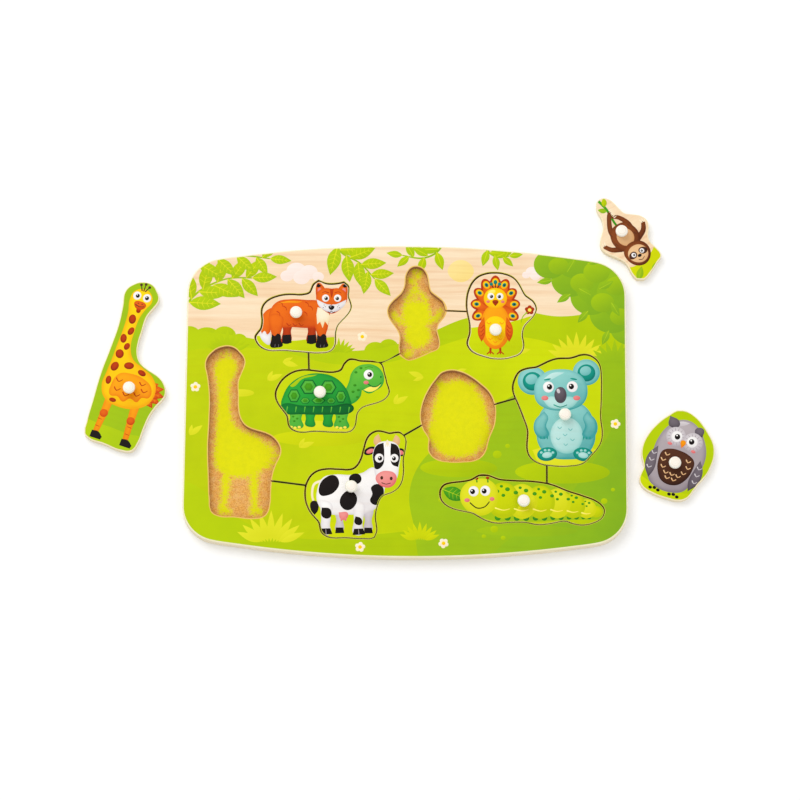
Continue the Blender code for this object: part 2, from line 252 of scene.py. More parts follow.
def build_print_group() -> Group:
    """Writes ink on wood: soft mottling, fibres that show through and a fine screen of pores.

    Returns:
        A group that puts out a Colour, a Roughness and a Height.
    """
    inputs = {"Vector": (), "Colour": (0.5, 0.5, 0.5, 1.0), "Deep": (0.4, 0.4, 0.4, 1.0), "Shade": 0.0,
              "Band": 0.5, "Fibre": 0.5, "Line": 0.0, "See-through": 0.1}
    group = new_group("Ink on wood", inputs, {"Colour": "Color", "Roughness": "Float", "Height": "Float"})
    w = NodeWriter(group)
    given = group.nodes["In"].outputs
    clear = given["See-through"]
    mottle = w.spread(w.noise(given["Vector"], 55.0, 3.0), 0.35, 0.68, -0.10, 0.10)
    ink = w.mix(w.math("ADD", given["Shade"], mottle, clamp=True), given["Colour"], given["Deep"])
    band_tint, ring_tint, fibre_tint = (linear(code) for code in ("EDC294", "DDA476", "CFA06C"))
    warm = w.mix(w.times(given["Band"], clear), ink, band_tint, "MULTIPLY")
    ringed = w.mix(w.times(given["Line"], clear), warm, ring_tint, "MULTIPLY")
    worn = w.mix(w.times(given["Fibre"], w.times(clear, 0.55)), ringed, fibre_tint, "MULTIPLY")
    rough = w.math("ADD", w.times(given["Fibre"], 0.08), 0.36)
    w.feed(group.nodes["Out"], {"Colour": worn, "Roughness": rough, "Height": given["Fibre"]})
    return group


GRAIN = build_grain_group()
INK_ON_WOOD = build_print_group()


@dataclass(frozen=True)
class Finish:
    """A finish of the puzzle. Each kind writes its own shader."""

    name: str

    def material(self) -> bpy.types.Material:
        """Gives the material, built the first time that it is asked for.

        Returns:
            The material.
        """
        made = bpy.data.materials.get(self.name)
        if not made:
            made = bpy.data.materials.new(self.name)
            made.use_nodes = True
            self.write(NodeWriter(made.node_tree))
        return made

    def write(self, w: NodeWriter) -> None:
        """Writes the shader's nodes."""
        raise NotImplementedError


@dataclass(frozen=True)
class PrintFinish(Finish):
    """Ink printed on plywood under a thin satin lacquer."""

    ink: Ink = Ink.BARE
    see_through: float = 0.05
    gloss: float = 0.02

    def write(self, w: NodeWriter) -> None:
        """Writes ink over grain, with the shade painted on the mesh.

        Args:
            w: Writer for the material's nodes.
        """
        own = w.own()
        grain = w.node("Group", {"Vector": own, "Band scale": 1.0}, node_tree=GRAIN).outputs
        colour, deep = (linear(code) for code in self.ink.value)
        inputs = {"Vector": own, "Colour": colour, "Deep": deep, "See-through": self.see_through,
                  "Shade": w.node("Attribute", attribute_name="shade").outputs["Fac"],
                  "Band": grain["Band"], "Fibre": grain["Fibre"], "Line": grain["Line"]}
        ink_and_shade = w.node("Group", inputs, node_tree=INK_ON_WOOD).outputs
        w.dress({"Base Color": ink_and_shade["Colour"], "Roughness": ink_and_shade["Roughness"],
                 "Normal": w.bump(ink_and_shade["Height"], 0.12, 0.05 * MM), "Specular IOR Level": 0.06,
                 "Coat Weight": self.gloss, "Coat Roughness": 0.25})


def print_finish(ink: Ink) -> PrintFinish:
    """Gives the finish of one ink. Bare wood shows its grain in full.

    Args:
        ink: The ink.

    Returns:
        Its finish.
    """
    name = ink.name.lower().replace("_", " ")
    clear = {Ink.BARE: 0.27, Ink.CLOUD: 0.12, Ink.SUN: 0.16}
    return PrintFinish(f"Print {name}", ink=ink, see_through=clear.get(ink, 0.05))


@dataclass(frozen=True)
class PlySideFinish(Finish):
    """Sawn side of the plywood: three plies and their glue lines, browned by the saw, and darkened further
    as painted shade where it is asked for.
    """

    low: float = 0.0
    high: float = 5 * MM
    scorch_and_shade: float = 0.35
    char_and_shade: str = "8A4C1E"
    outer_ply: str = "F6EDD3"
    middle_ply: str = "EADDBA"
    glue: str = "B08458"
    blade_mark: str = "D3BC90"

    def write(self, w: NodeWriter) -> None:
        """Writes plies across the thickness and blade marks along it.

        Args:
            w: Writer for the material's nodes.
        """
        own = w.own()
        height = w.node("SeparateXYZ", {0: own}).outputs[2]
        level = w.spread(height, self.low, self.high, 0.0, 3.0)
        middle = w.math("LESS_THAN", w.off(level, 1.5), 0.5)
        seam = w.spread(w.off(w.math("FRACT", level), 0.5), 0.44, 0.50)
        marks = w.noise(own, 900.0, 3.0, 0.7)
        face = w.mix(middle, linear(self.outer_ply), linear(self.middle_ply))
        lined = w.mix(w.times(seam, 0.45), face, linear(self.glue))
        spotted = w.mix(w.spread(marks, 0.4, 0.75, 0.0, 0.25), lined, linear(self.blade_mark))
        # Saw browning; in slits and filled cut-outs it is deepened as painted shade.
        burnt_and_shaded = w.mix(self.scorch_and_shade, spotted, linear(self.char_and_shade), "MULTIPLY")
        w.dress({"Base Color": burnt_and_shaded, "Normal": w.bump(marks, 0.35, 0.1 * MM), "Roughness": 0.75})


@dataclass(frozen=True)
class SandedEdgeFinish(Finish):
    """Bare wood of an edge that was broken with sandpaper."""

    tone: str = "F2DFB4"
    tint: str = "E6D77A"
    tinted: float = 0.25
    fibre: str = "D9B67F"

    def write(self, w: NodeWriter) -> None:
        """Writes pale wood with a trace of the ink beside it.

        Args:
            w: Writer for the material's nodes.
        """
        own = w.own()
        grain = w.node("Group", {"Vector": own, "Band scale": 1.4}, node_tree=GRAIN).outputs
        bare = w.mix(w.times(grain["Fibre"], 0.25), linear(self.tone), linear(self.fibre))
        rub = w.spread(w.noise(own, 160.0, 4.0), 0.40, 0.62, 0.0, self.tinted * 2)
        traced = w.mix(rub, bare, linear(self.tint))
        relief = w.bump(grain["Height"], 0.2, 0.08 * MM)
        w.dress({"Base Color": traced, "Normal": relief, "Roughness": 0.55})


@dataclass(frozen=True)
class BackingEdgeFinish(Finish):
    """Trimmed side and plain underside of the backing, pale and matte."""

    fibres: tuple[str, str, str] = ("F4EDD6", "E0D2AE", "EBE0C4")

    def write(self, w: NodeWriter) -> None:
        """Writes pale fibres with a few darker ones.

        Args:
            w: Writer for the material's nodes.
        """
        own = w.own()
        pale, dark, cloudy = (linear(code) for code in self.fibres)
        speck = w.noise(own, 1100.0, 3.0, 0.7)
        board = w.mix(w.spread(speck, 0.38, 0.72), pale, dark)
        board = w.mix(w.spread(w.noise(own, 60.0), 0.4, 0.7, 0.0, 0.3), board, cloudy)
        w.dress({"Base Color": board, "Normal": w.bump(speck, 0.3, 0.1 * MM), "Roughness": 0.8,
                 "Specular IOR Level": 0.15})


@dataclass(frozen=True)
class FibreboardFinish(Finish):
    """Top of the backing of pressed fibres, with a soft print at the bottom of the cut-outs."""

    fibres: tuple[str, str, str, str] = ("F2BC64", "D68B34", "EEBE7E", "A35A1C")
    limes: tuple[str, str] = ("E2E000", "D2D400")

    def write(self, w: NodeWriter) -> None:
        """Writes specks of fibre and the dithered edge of the print.

        Args:
            w: Writer for the material's nodes.
        """
        own = w.own()
        pale, dark, cloudy, flake = (linear(code) for code in self.fibres)
        speck = w.noise(own, 1500.0, 3.0, 0.7)
        clump = w.noise(own, 260.0)
        cells = w.node("TexVoronoi", {"Vector": own, "Scale": 900.0}).outputs[0]
        board = w.mix(w.spread(speck, 0.35, 0.68), pale, dark)
        board = w.mix(w.spread(clump, 0.4, 0.7, 0.0, 0.6), board, cloudy)
        board = w.mix(w.spread(cells, 0.30, 0.55, 0.30, 0.0), board, flake)
        ghost = w.node("Attribute", attribute_name="ghost").outputs["Fac"]
        grit = w.spread(w.noise(own, 800.0, 2.0, 0.8), 0.34, 0.66, -0.42, 0.42)
        drift = w.spread(clump, 0.3, 0.7, -0.22, 0.22)
        edge = w.math("ADD", w.times(ghost, 1.7), w.math("ADD", grit, drift))
        lime = w.mix(w.spread(clump, 0.35, 0.7, 0.0, 0.5), *(linear(code) for code in self.limes))
        colour = w.mix(w.spread(edge, 0.35, 1.25, 0.0, 0.98), board, lime)
        w.dress({"Base Color": colour, "Normal": w.bump(speck, 0.3, 0.1 * MM), "Roughness": 0.8,
                 "Specular IOR Level": 0.15})


@dataclass(frozen=True)
class KnobFinish(Finish):
    """Turned knob of pale wood under clear lacquer, with rings of growth and pores."""

    seed: float = 0.0
    woods: tuple[str, str] = ("FCF4E8", "F0E2CF")
    pore: str = "D8C4A4"
    groove: str = "D2BC98"
    groove_radius: float = 2.7 * MM
    flank_highlight: str = "FFFCF2"

    def write(self, w: NodeWriter) -> None:
        """Writes off-centre rings, pores, a faint darker ring left by the lathe and a paler flank that is a
        painted highlight.

        Args:
            w: Writer for the material's nodes.
        """
        own = w.node("TexCoord").outputs["Object"]
        heart = (0.0021 + self.seed * 0.0004, 0.0014, 0.0)
        moved = w.node("VectorMath", {0: own, 1: heart}, operation="ADD").outputs[0]
        rings = w.node("TexWave", {"Vector": moved, "Scale": 520.0, "Distortion": 2.4, "Detail": 2.0},
                       wave_type="RINGS", rings_direction="Z").outputs["Fac"]
        pores = w.noise(own, 2200.0 + 90.0 * self.seed)
        wood = w.mix(w.times(rings, 0.30), *(linear(code) for code in self.woods))
        pored = w.mix(w.spread(pores, 0.50, 0.72, 0.0, 0.42), wood, linear(self.pore))
        flat = w.stretch(own, (1.0, 1.0, 0.0))
        reach = w.node("VectorMath", {0: flat}, operation="LENGTH").outputs["Value"]
        lathe = w.spread(w.off(reach, self.groove_radius), 0.0, 0.34 * MM, 0.34, 0.0)
        ringed = w.mix(lathe, pored, linear(self.groove))
        # Paler flank of the head, a painted highlight on its rounded edge.
        ringed = w.mix(w.spread(reach, 2.9 * MM, 3.3 * MM, 0.0, 0.8), ringed, linear(self.flank_highlight))
        w.dress({"Base Color": ringed, "Normal": w.bump(pores, 0.10, 0.05 * MM), "Roughness": 0.42,
                 "Coat Weight": 0.4, "Coat Roughness": 0.15})


@dataclass(frozen=True)
class PaperFinish(Finish):
    """White matte paper of the floor, with a trace of unevenness."""

    patch: str = "FCFBFA"

    def write(self, w: NodeWriter) -> None:
        """Writes white with faint patches.

        Args:
            w: Writer for the material's nodes.
        """
        tooth = w.noise(w.node("TexCoord").outputs["Object"], 400.0)
        paper = w.mix(w.spread(tooth, 0.4, 0.7, 0.0, 0.2), WHITE, linear(self.patch))
        w.dress({"Base Color": paper, "Roughness": 0.9, "Specular IOR Level": 0.0})


# Outlines


def boundary_loops(mesh: bpy.types.Mesh, height: float, sharp: float = 25.0) -> list[Loop]:
    """Reads the outlines of a solid at one height.

    Args:
        mesh: The solid's mesh.
        height: Height of the sharp rings that are read.
        sharp: Least angle in degrees between the faces that meet there.

    Returns:
        The closed loops, each as a list of flat points, the widest first.
    """
    weld, level_gap = 1e-6, 2e-5
    shape = bmesh.new()
    shape.from_mesh(mesh)
    bmesh.ops.remove_doubles(shape, verts=shape.verts, dist=weld)
    ring = {}
    for edge in shape.edges:
        level = all(abs(v.co.z - height) < level_gap for v in edge.verts)
        if level and len(edge.link_faces) == 2 and edge.calc_face_angle(0.0) > radians(sharp):
            for a, b in (edge.verts, reversed(edge.verts)):
                ring.setdefault(a.index, []).append(b.index)
    shape.verts.ensure_lookup_table()
    loops = []
    left = set(ring)
    while left:
        first = min(left)
        chain, before, here = [], None, first
        while here is not None and here in left:
            left.discard(here)
            chain.append(shape.verts[here].co.xy.copy())
            onward = [n for n in ring[here] if n != before and n in left]
            before, here = here, (onward[0] if onward else None)
        loops.append(chain)
    shape.free()
    return sorted(loops, key=width_of, reverse=True)


def width_of(loop: Loop) -> float:
    """Measures a loop along X."""
    return max(p.x for p in loop) - min(p.x for p in loop)


def rows(loop: Loop) -> Array:
    """Writes a loop's points as rows of numbers."""
    return np.array([p[:] for p in loop])


def clockwise(loop: Loop) -> Loop:
    """Gives the loop in clockwise order."""
    area = sum(loop[i - 1].cross(loop[i]) for i in range(len(loop)))
    return loop if area < 0 else loop[::-1]


def smooth_loop(knots: Loop, step: float, straight: float = 1.0, corner: float = 50.0,
                pull: float = 0.36) -> Loop:
    """Draws a closed smooth curve through points, cut into short steps.

    Args:
        knots: The points.
        step: Length of a step.
        straight: Stretches longer than this stay straight.
        corner: Turns sharper than this, in degrees, stay sharp.
        pull: Length of the curve's handles, as a share of a stretch.

    Returns:
        The points of the curve.
    """
    count = len(knots)
    edges = [knots[(i + 1) % count] - knots[i] for i in range(count)]
    leaving, arriving = [], []
    for i in range(count):
        before, after = edges[i - 1].normalized(), edges[i].normalized()
        along = (before + after).normalized()
        if before.dot(after) < cos(radians(corner)):
            arriving.append(before)
            leaving.append(after)
            continue
        if edges[i - 1].length > straight or edges[i].length > straight:
            along = before if edges[i - 1].length > straight else after
        arriving.append(along)
        leaving.append(along)
    loop = []
    for i in range(count):
        a, b = knots[i], knots[(i + 1) % count]
        length = edges[i].length
        steps = 1 if length > straight else max(1, round(length / step))
        handle_a = a + leaving[i] * length * pull
        handle_b = b - arriving[(i + 1) % count] * length * pull
        for k in range(steps):
            t = k / steps
            s = 1 - t
            loop.append(s**3 * a + 3 * s * s * t * handle_a + 3 * s * t * t * handle_b + t**3 * b)
    return loop


def grown(loop: Loop, distance: float, sharpest: float = 0.6) -> Loop:
    """Moves a clockwise loop outwards.

    Args:
        loop: The closed loop.
        distance: How far, negative for inwards.
        sharpest: Least share of a step that goes straight out, so that no corner runs far off.

    Returns:
        The moved loop, point for point.
    """
    made = []
    count = len(loop)
    for i, point in enumerate(loop):
        before = (point - loop[i - 1]).normalized()
        after = (loop[(i + 1) % count] - point).normalized()
        along = (before + after).normalized()
        outward = Vector((-along.y, along.x))
        made.append(point + outward * (distance / max(along.dot(after), sharpest)))
    return made


def held(loop: Loop, low: Vector, high: Vector) -> Loop:
    """Keeps a loop within a box, given by its lowest and highest corner."""
    return [Vector((min(max(p.x, low.x), high.x), min(max(p.y, low.y), high.y))) for p in loop]


def inside(points: Array, loop: Array) -> Array:
    """Tells which points lie within a closed loop.

    Args:
        points: Points, one a row.
        loop: The loop's points, one a row.

    Returns:
        True for each point that lies within it.
    """
    flat = 1e-15
    low, high = loop.min(0), loop.max(0)
    near = np.all((points >= low) & (points <= high), axis=1)
    found = np.zeros(len(points), bool)
    p = points[near]
    if len(p) == 0:
        return found
    a, b = loop, np.roll(loop, -1, axis=0)
    crosses = (a[:, 1] > p[:, 1:2]) != (b[:, 1] > p[:, 1:2])
    rise = np.where(np.abs(b[:, 1] - a[:, 1]) < flat, flat, b[:, 1] - a[:, 1])
    at = a[:, 0] + (p[:, 1:2] - a[:, 1]) * (b[:, 0] - a[:, 0]) / rise
    found[near] = (np.sum(crosses & (p[:, 0:1] < at), axis=1) % 2).astype(bool)
    return found


def reach_to(points: Array, loop: Array) -> Array:
    """Measures the distance of each point from a closed loop.

    Args:
        points: Points, one a row.
        loop: The loop's points, one a row.

    Returns:
        The distances.
    """
    best = np.full(len(points), np.inf)
    for a, b in zip(loop, np.roll(loop, -1, axis=0)):
        edge = b - a
        t = np.clip(((points - a) @ edge) / max(edge @ edge, 1e-18), 0, 1)
        best = np.minimum(best, np.linalg.norm(points - a - t[:, None] * edge, axis=1))
    return best


def tight_places(loop: Array, gap: float, neighbours: int = 6) -> Array:
    """Tells where a loop runs close beside another stretch of itself, as along a slit.

    Args:
        loop: The loop's points, one a row.
        gap: The distance that counts as close.
        neighbours: How many points to each side don't count.

    Returns:
        True for each point in such a place.
    """
    count = len(loop)
    apart = np.linalg.norm(loop[:, None] - loop[None], axis=2)
    steps = np.abs(np.arange(count)[:, None] - np.arange(count)[None])
    steps = np.minimum(steps, count - steps)
    return np.any((apart < gap) & (steps > neighbours), axis=1)


# Drawing


@dataclass(frozen=True)
class Mark:
    """One printed shape, with the way its tone deepens across it and towards its border."""

    ink: Ink
    outline: tuple[Point, ...]
    shade: tuple[float, float] = (0.0, 0.6)
    toward: Point = (0.45, -0.89)
    edge: float = 0.45
    soft: float = 2.6
    falloff: float = 1.6

    def tones(self, places: Array) -> Array:
        """Works out the ink's tones at some places: 0 for its own colour and 1 for its deep one.

        Args:
            places: The places in millimetres, one a row.

        Returns:
            The tones.
        """
        border, way = np.array(self.outline), np.array(self.toward)
        spans = border @ way
        share = np.clip((places @ way - spans.min()) / max(np.ptp(spans), 1e-6), 0, 1)
        tone = self.shade[0] + (self.shade[1] - self.shade[0]) * share
        if self.edge > 0:
            tone = tone + self.edge * np.clip(1 - reach_to(places, border) / self.soft, 0, 1)**self.falloff
        return tone


@dataclass
class Printed:
    """A thing with a picture: a pile of printed shapes, the last on top. Sizes are in millimetres."""

    edge_tone: float = 0.45
    marks: list[Mark] = field(default_factory=list)

    def draw(self) -> None:
        """Draws the picture."""

    def picture(self) -> list[Mark]:
        """Draws the picture afresh.

        Returns:
            Its shapes, the lowest first.
        """
        self.marks = []
        self.draw()
        return self.marks

    def add(self, ink: Ink, outline: tuple[Point, ...], look: dict[str, float | Point]) -> None:
        """Puts a shape on top of the others."""
        self.marks.append(Mark(ink, outline, **{"edge": self.edge_tone, **look}))

    def oval(self, ink: Ink, x: float, y: float, rx: float, ry: float, tilt: float = 0.0,
             **look: float | Point) -> None:
        """Adds an oval.

        Args:
            ink: Its ink.
            x: Its middle, across.
            y: Its middle, along.
            rx: Half its width.
            ry: Half its height.
            tilt: Its turn in degrees.
            **look: Other fields of the mark.
        """
        steps = 12 if max(rx, ry) < 1.6 else 20 if max(rx, ry) < 6 else 36
        c, s = cos(radians(tilt)), sin(radians(tilt))
        places = []
        for k in range(steps):
            u, v = rx * cos(k * tau / steps), ry * sin(k * tau / steps)
            places.append((x + u * c - v * s, y + u * s + v * c))
        self.add(ink, tuple(places), look)

    def blob(self, ink: Ink, *points: Point, corner: float = 104.0, **look: float | Point) -> None:
        """Adds a shape with a smooth outline through the points.

        Args:
            ink: Its ink.
            *points: The points.
            corner: Turns sharper than this, in degrees, stay sharp.
            **look: Other fields of the mark.
        """
        loop = smooth_loop([Vector(p) for p in points], 1.2, inf, corner)
        self.add(ink, tuple(p[:] for p in loop), look)

    def fill(self, ink: Ink, *points: Point, corner: float = 104.0) -> None:
        """Adds a smooth shape whose tone doesn't deepen at its border."""
        self.blob(ink, *points, corner=corner, edge=0)

    def patch(self, ink: Ink, *points: Point, **look: float | Point) -> None:
        """Adds a shape with straight sides between the points."""
        self.add(ink, tuple(points), look)

    def line(self, ink: Ink, width: float, *points: Point, end: float | None = None,
             edge: float = 0.0) -> None:
        """Adds a smooth stroke.

        Args:
            ink: Its ink.
            width: Its width at the first point.
            *points: The points that it follows.
            end: Its width at the last point, or None for the same.
            edge: How far it deepens at its border.
        """
        step, cap = 1.5, 0.45
        knots = [Vector(p) for p in points]
        places = []
        for i in range(len(knots) - 1):
            before = knots[max(i - 1, 0)]
            a, b = knots[i], knots[i + 1]
            after = knots[min(i + 2, len(knots) - 1)]
            steps = max(2, round((b - a).length / step))
            for k in range(steps):
                t = k / steps
                places.append(0.5 * (2 * a + (b - before) * t + (2 * before - 5 * a + 4 * b - after) * t * t
                                     + (3 * a - before - 3 * b + after) * t**3))
        places.append(knots[-1])
        end = width if end is None else end
        left, right = [], []
        for i, p in enumerate(places):
            along = (places[min(i + 1, len(places) - 1)] - places[max(i - 1, 0)]).normalized()
            half = (width + (end - width) * i / (len(places) - 1)) / 2
            side = Vector((-along.y, along.x)) * half
            left.append((p.x + side.x, p.y + side.y))
            right.append((p.x - side.x, p.y - side.y))
        tip = places[-1] + (places[-1] - places[-2]).normalized() * end * cap
        tail = places[0] - (places[1] - places[0]).normalized() * width * cap
        self.add(ink, (*left, tip[:], *right[::-1], tail[:]), {"edge": edge})

    def leaf(self, ink: Ink, x: float, y: float, length: float, width: float, angle: float,
             vein: Ink | None = None) -> None:
        """Adds a pointed leaf that grows from a place.

        Args:
            ink: Its ink.
            x: Place of its stalk, across.
            y: Place of its stalk, along.
            length: Its length.
            width: Its width.
            angle: The way it points, in degrees.
            vein: Ink of its vein, or None.
        """
        c, s = cos(radians(angle)), sin(radians(angle))
        half = []
        for k in range(9):
            t = k / 8
            half.append((t * length, width / 2 * sin(pi * t**0.85)))
        outline = half + [(u, -v) for u, v in half[-2:0:-1]]
        self.add(ink, tuple((x + u * c - v * s, y + u * s + v * c) for u, v in outline), {})
        if not vein:
            return
        far, tone = length * 0.86, self.edge_tone
        middle, tip = (x + far * c * 0.5, y + far * s * 0.5), (x + far * c, y + far * s)
        self.line(vein, 0.035 * length, (x, y), middle, tip, end=0.2, edge=tone)
        for k in range(1, 5 if length > 14 else 1):
            u = length * (0.10 + 0.15 * k)
            v = width * 0.40 * sin(pi * (0.22 + 0.15 * k)**0.85)
            for side in (-1, 1):
                a, b = u + length * 0.10, side * v
                start, stop = (x + u * c, y + u * s), (x + a * c - b * s, y + a * s + b * c)
                self.line(vein, 0.02 * length, start, stop, end=0.15, edge=tone)

    def eye(self, x: float, y: float, size: float, look_x: float = 0.0, look_y: float = 0.0) -> None:
        """Adds a round eye with a dark pupil.

        Args:
            x: Its middle, across.
            y: Its middle, along.
            size: Radius of its white.
            look_x: How far the pupil lies to the right.
            look_y: How far the pupil lies up.
        """
        self.oval(Ink.WHITE, x, y, size, size * 1.06, shade=(0.0, 0.3), edge=0.3, soft=0.8)
        self.oval(Ink.BLACK, x + look_x, y + look_y, size * 0.5, size * 0.54, edge=0.0)
        glint = size * 0.15
        self.oval(Ink.WHITE, x + look_x - size * 0.16, y + look_y + size * 0.2, glint, glint, shade=(0, 0),
                  edge=0.0)

    def blade_tuft(self, ink: Ink, x: float, y: float, size: float, count: int = 5) -> None:
        """Adds a tuft of pointed leaves that spread from one foot.

        Args:
            ink: Its ink.
            x: Its foot, across.
            y: Its foot, along.
            size: Length of its middle leaf.
            count: How many leaves.
        """
        for k in range(count):
            off = (k - (count - 1) / 2) / count
            length = size * (1.0 - 0.5 * abs(off))
            self.leaf(ink, x + off * size * 0.7, y, length, size * 0.22, 90 - off * 150)


def staggered(low: Array, high: Array, spacing: float) -> Array:
    """Fills a box with points whose every other row is moved by half a step.

    Args:
        low: The box's lowest corner.
        high: Its highest corner.
        spacing: Distance of the points in a row and of the rows.

    Returns:
        The points, one a row.
    """
    xs, ys = np.arange(low[0], high[0], spacing), np.arange(low[1], high[1], spacing)
    return np.array([(x + (k % 2) * spacing / 2, y) for k, y in enumerate(ys) for x in xs])


def printed_face(outer: Loop, holes: list[Loop], marks: list[Mark], ground: Ink, unit: float,
                 spacing: float = 0.0) -> tuple[list, list, list, list]:
    """Divides a flat face along the outlines of the printed shapes.

    Args:
        outer: Border of the face, in metres.
        holes: Borders of its holes.
        marks: The picture, in its own millimetres.
        ground: Ink of the face where no shape lies.
        unit: Length of the picture's millimetre.
        spacing: Distance of extra points that carry soft tones, or 0 for none.

    Returns:
        The points, the faces as point numbers, each face's ink, and each face's tones.
    """
    weld, ground_tone = 1e-7, 0.15
    places, edges = [], []
    for loop in [outer, *holes, *([Vector(p) * unit for p in mark.outline] for mark in marks)]:
        base = len(places)
        places += [Vector(p) for p in loop]
        edges += [(base + i, base + (i + 1) % len(loop)) for i in range(len(loop))]
    border = rows(outer)
    if spacing > 0:
        grid = staggered(border.min(0), border.max(0), spacing)
        places += [Vector(p) for p in grid[inside(grid, border)]]
    flat, _, faces, _, _, _ = delaunay_2d_cdt(places, edges, [], 0, weld)
    points = rows(flat)
    middles = np.array([points[list(f)].mean(0) for f in faces])
    keep = inside(middles, border)
    for hole in holes:
        keep &= ~inside(middles, rows(hole))
    label = np.full(len(faces), -1)
    for i, mark in enumerate(marks):
        label[inside(middles, np.array(mark.outline) * unit)] = i
    kept, inks, tones = [], [], []
    for i in sorted(set(label[keep])):
        mine = [list(faces[k]) for k in np.nonzero(keep & (label == i))[0]]
        numbers = sorted({v for face in mine for v in face})
        values = marks[i].tones(points[numbers] / unit) if i >= 0 else np.full(len(numbers), ground_tone)
        tone = dict(zip(numbers, values.tolist()))
        kept += mine
        inks += [marks[i].ink if i >= 0 else ground] * len(mine)
        tones += [[tone[v] for v in face] for face in mine]
    return [tuple(p) for p in points.tolist()], kept, inks, tones


# Building


def close_seams(shape: bmesh.types.BMesh, gap: float = 3e-7) -> None:
    """Gives the open edges beside a picture the points that its shapes leave on them, and joins the two.

    Args:
        shape: The mesh, which is changed in place.
        gap: Points nearer than this are joined.
    """
    brims = [edge for edge in shape.edges if len(edge.link_faces) == 1]
    spots = list(dict.fromkeys(vert for edge in brims for vert in edge.verts))
    places = np.array([vert.co[:] for vert in spots])
    for edge, (start, stop) in [(edge, np.array([vert.co[:] for vert in edge.verts])) for edge in brims]:
        along = stop - start
        length = np.linalg.norm(along)
        shares = (places - start) @ along / length**2
        off = np.linalg.norm(places - start - shares[:, None] * along, axis=1)
        between = (off < gap) & (shares * length > gap) & ((1 - shares) * length > gap)
        vert, done = edge.verts[0], 0.0
        for share in np.sort(shares[between]).tolist():
            _, vert = bmesh.utils.edge_split(edge, vert, (share - done) / (1 - done))
            done = share
            spots.append(vert)
    bmesh.ops.remove_doubles(shape, verts=spots, dist=gap)


def linked(name: str, data: bpy.types.ID) -> bpy.types.Object:
    """Makes an object of some data and puts it in the scene.

    Args:
        name: Its name.
        data: Its mesh, camera or lamp.

    Returns:
        The object.
    """
    made = bpy.data.objects.new(name, data)
    bpy.context.scene.collection.objects.link(made)
    return made


@dataclass
class MeshBook:
    """Collects points and faces with their finishes, and makes one object of them."""

    name: str
    turn: float = 0.0
    weld: float = 2e-7
    sharp: float = radians(30)
    points: list[tuple[float, float, float]] = field(default_factory=list)
    faces: list[list[int]] = field(default_factory=list)
    finishes: list[Finish] = field(default_factory=list)
    tones: list[list[float]] = field(default_factory=list)
    smooth: list[bool] = field(default_factory=list)

    def ring(self, loop: Loop, height: float) -> list[int]:
        """Adds a loop's points at a height.

        Args:
            loop: The loop.
            height: The height.

        Returns:
            The points' numbers.
        """
        base = len(self.points)
        self.points += [(p.x, p.y, height) for p in loop]
        return list(range(base, base + len(loop)))

    def face(self, numbers: list[int], finish: Finish, tone: list[float] | None = None,
             smooth: bool = False) -> None:
        """Adds a face.

        Args:
            numbers: Its points' numbers.
            finish: Its finish.
            tone: The print's tone at each of its points, or None for 0.
            smooth: True to shade it smooth.
        """
        self.faces.append(numbers)
        self.finishes.append(finish)
        self.tones.append(tone or [0.0] * len(numbers))
        self.smooth.append(smooth)

    def wall(self, low: list[int], high: list[int], finish: Finish | list[Finish],
             flip: bool = False) -> None:
        """Joins two rings with four-sided faces.

        Args:
            low: Numbers of the first ring's points.
            high: Numbers of the second ring's points.
            finish: The wall's finish, or one for each point of the rings.
            flip: True to turn the faces over.
        """
        count = len(low)
        for i in range(count):
            j = (i + 1) % count
            numbers = [low[j], low[i], high[i], high[j]]
            own = finish[i] if isinstance(finish, list) else finish
            self.face(numbers[::-1] if flip else numbers, own, smooth=True)

    def sheet(self, outer: Loop, holes: list[Loop], height: float, marks: list[Mark], ground: Ink,
              unit: float = MM, up: bool = True, spacing: float = 0.0) -> None:
        """Adds a flat face with a picture on it.

        Args:
            outer: Its border.
            holes: Borders of its holes.
            height: Its height.
            marks: The picture.
            ground: Ink where no shape lies.
            unit: Length of the picture's millimetre.
            up: False for a face that looks down.
            spacing: Distance of extra points that carry soft tones, or 0 for none.
        """
        flat, faces, inks, tones = printed_face(outer, holes, marks, ground, unit, spacing)
        base = len(self.points)
        self.points += [(x, y, height) for x, y in flat]
        for numbers, ink, tone in zip(faces, inks, tones):
            placed = [base + n for n in numbers]
            a, b, c = (Vector(self.points[n][:2]) for n in placed[:3])
            if ((b - a).cross(c - a) > 0) != up:
                placed, tone = placed[::-1], tone[::-1]
            self.face(placed, print_finish(ink), tone)

    def make(self) -> bpy.types.Object:
        """Makes the object with its finishes, its painted shade and its place in the wood before its turn.

        Returns:
            The object, linked to the scene.
        """
        mesh = bpy.data.meshes.new(self.name)
        mesh.from_pydata(self.points, [], self.faces)
        slots: dict[str, int] = {}
        for finish in self.finishes:
            if finish.name not in slots:
                slots[finish.name] = len(slots)
                mesh.materials.append(finish.material())
        mesh.polygons.foreach_set("material_index", [slots[f.name] for f in self.finishes])
        mesh.polygons.foreach_set("use_smooth", self.smooth)
        shade = mesh.attributes.new("shade", "FLOAT", "CORNER")
        shade.data.foreach_set("value", [t for tone in self.tones for t in tone])
        shape = bmesh.new()
        shape.from_mesh(mesh)
        bmesh.ops.remove_doubles(shape, verts=shape.verts, dist=self.weld)
        loose = [v for v in shape.verts if not v.link_faces]
        bmesh.ops.delete(shape, geom=loose, context="VERTS")
        close_seams(shape)
        shape.to_mesh(mesh)
        shape.free()
        own = mesh.attributes.new("own", "FLOAT_VECTOR", "POINT")
        own.data.foreach_set("vector", [c for v in mesh.vertices for c in v.co])
        mesh.transform(Matrix.Rotation(self.turn, 4, "Z"))
        round_faces = [p.use_smooth for p in mesh.polygons]
        mesh.set_sharp_from_angle(angle=self.sharp)
        mesh.polygons.foreach_set("use_smooth", round_faces)
        return linked(self.name, mesh)


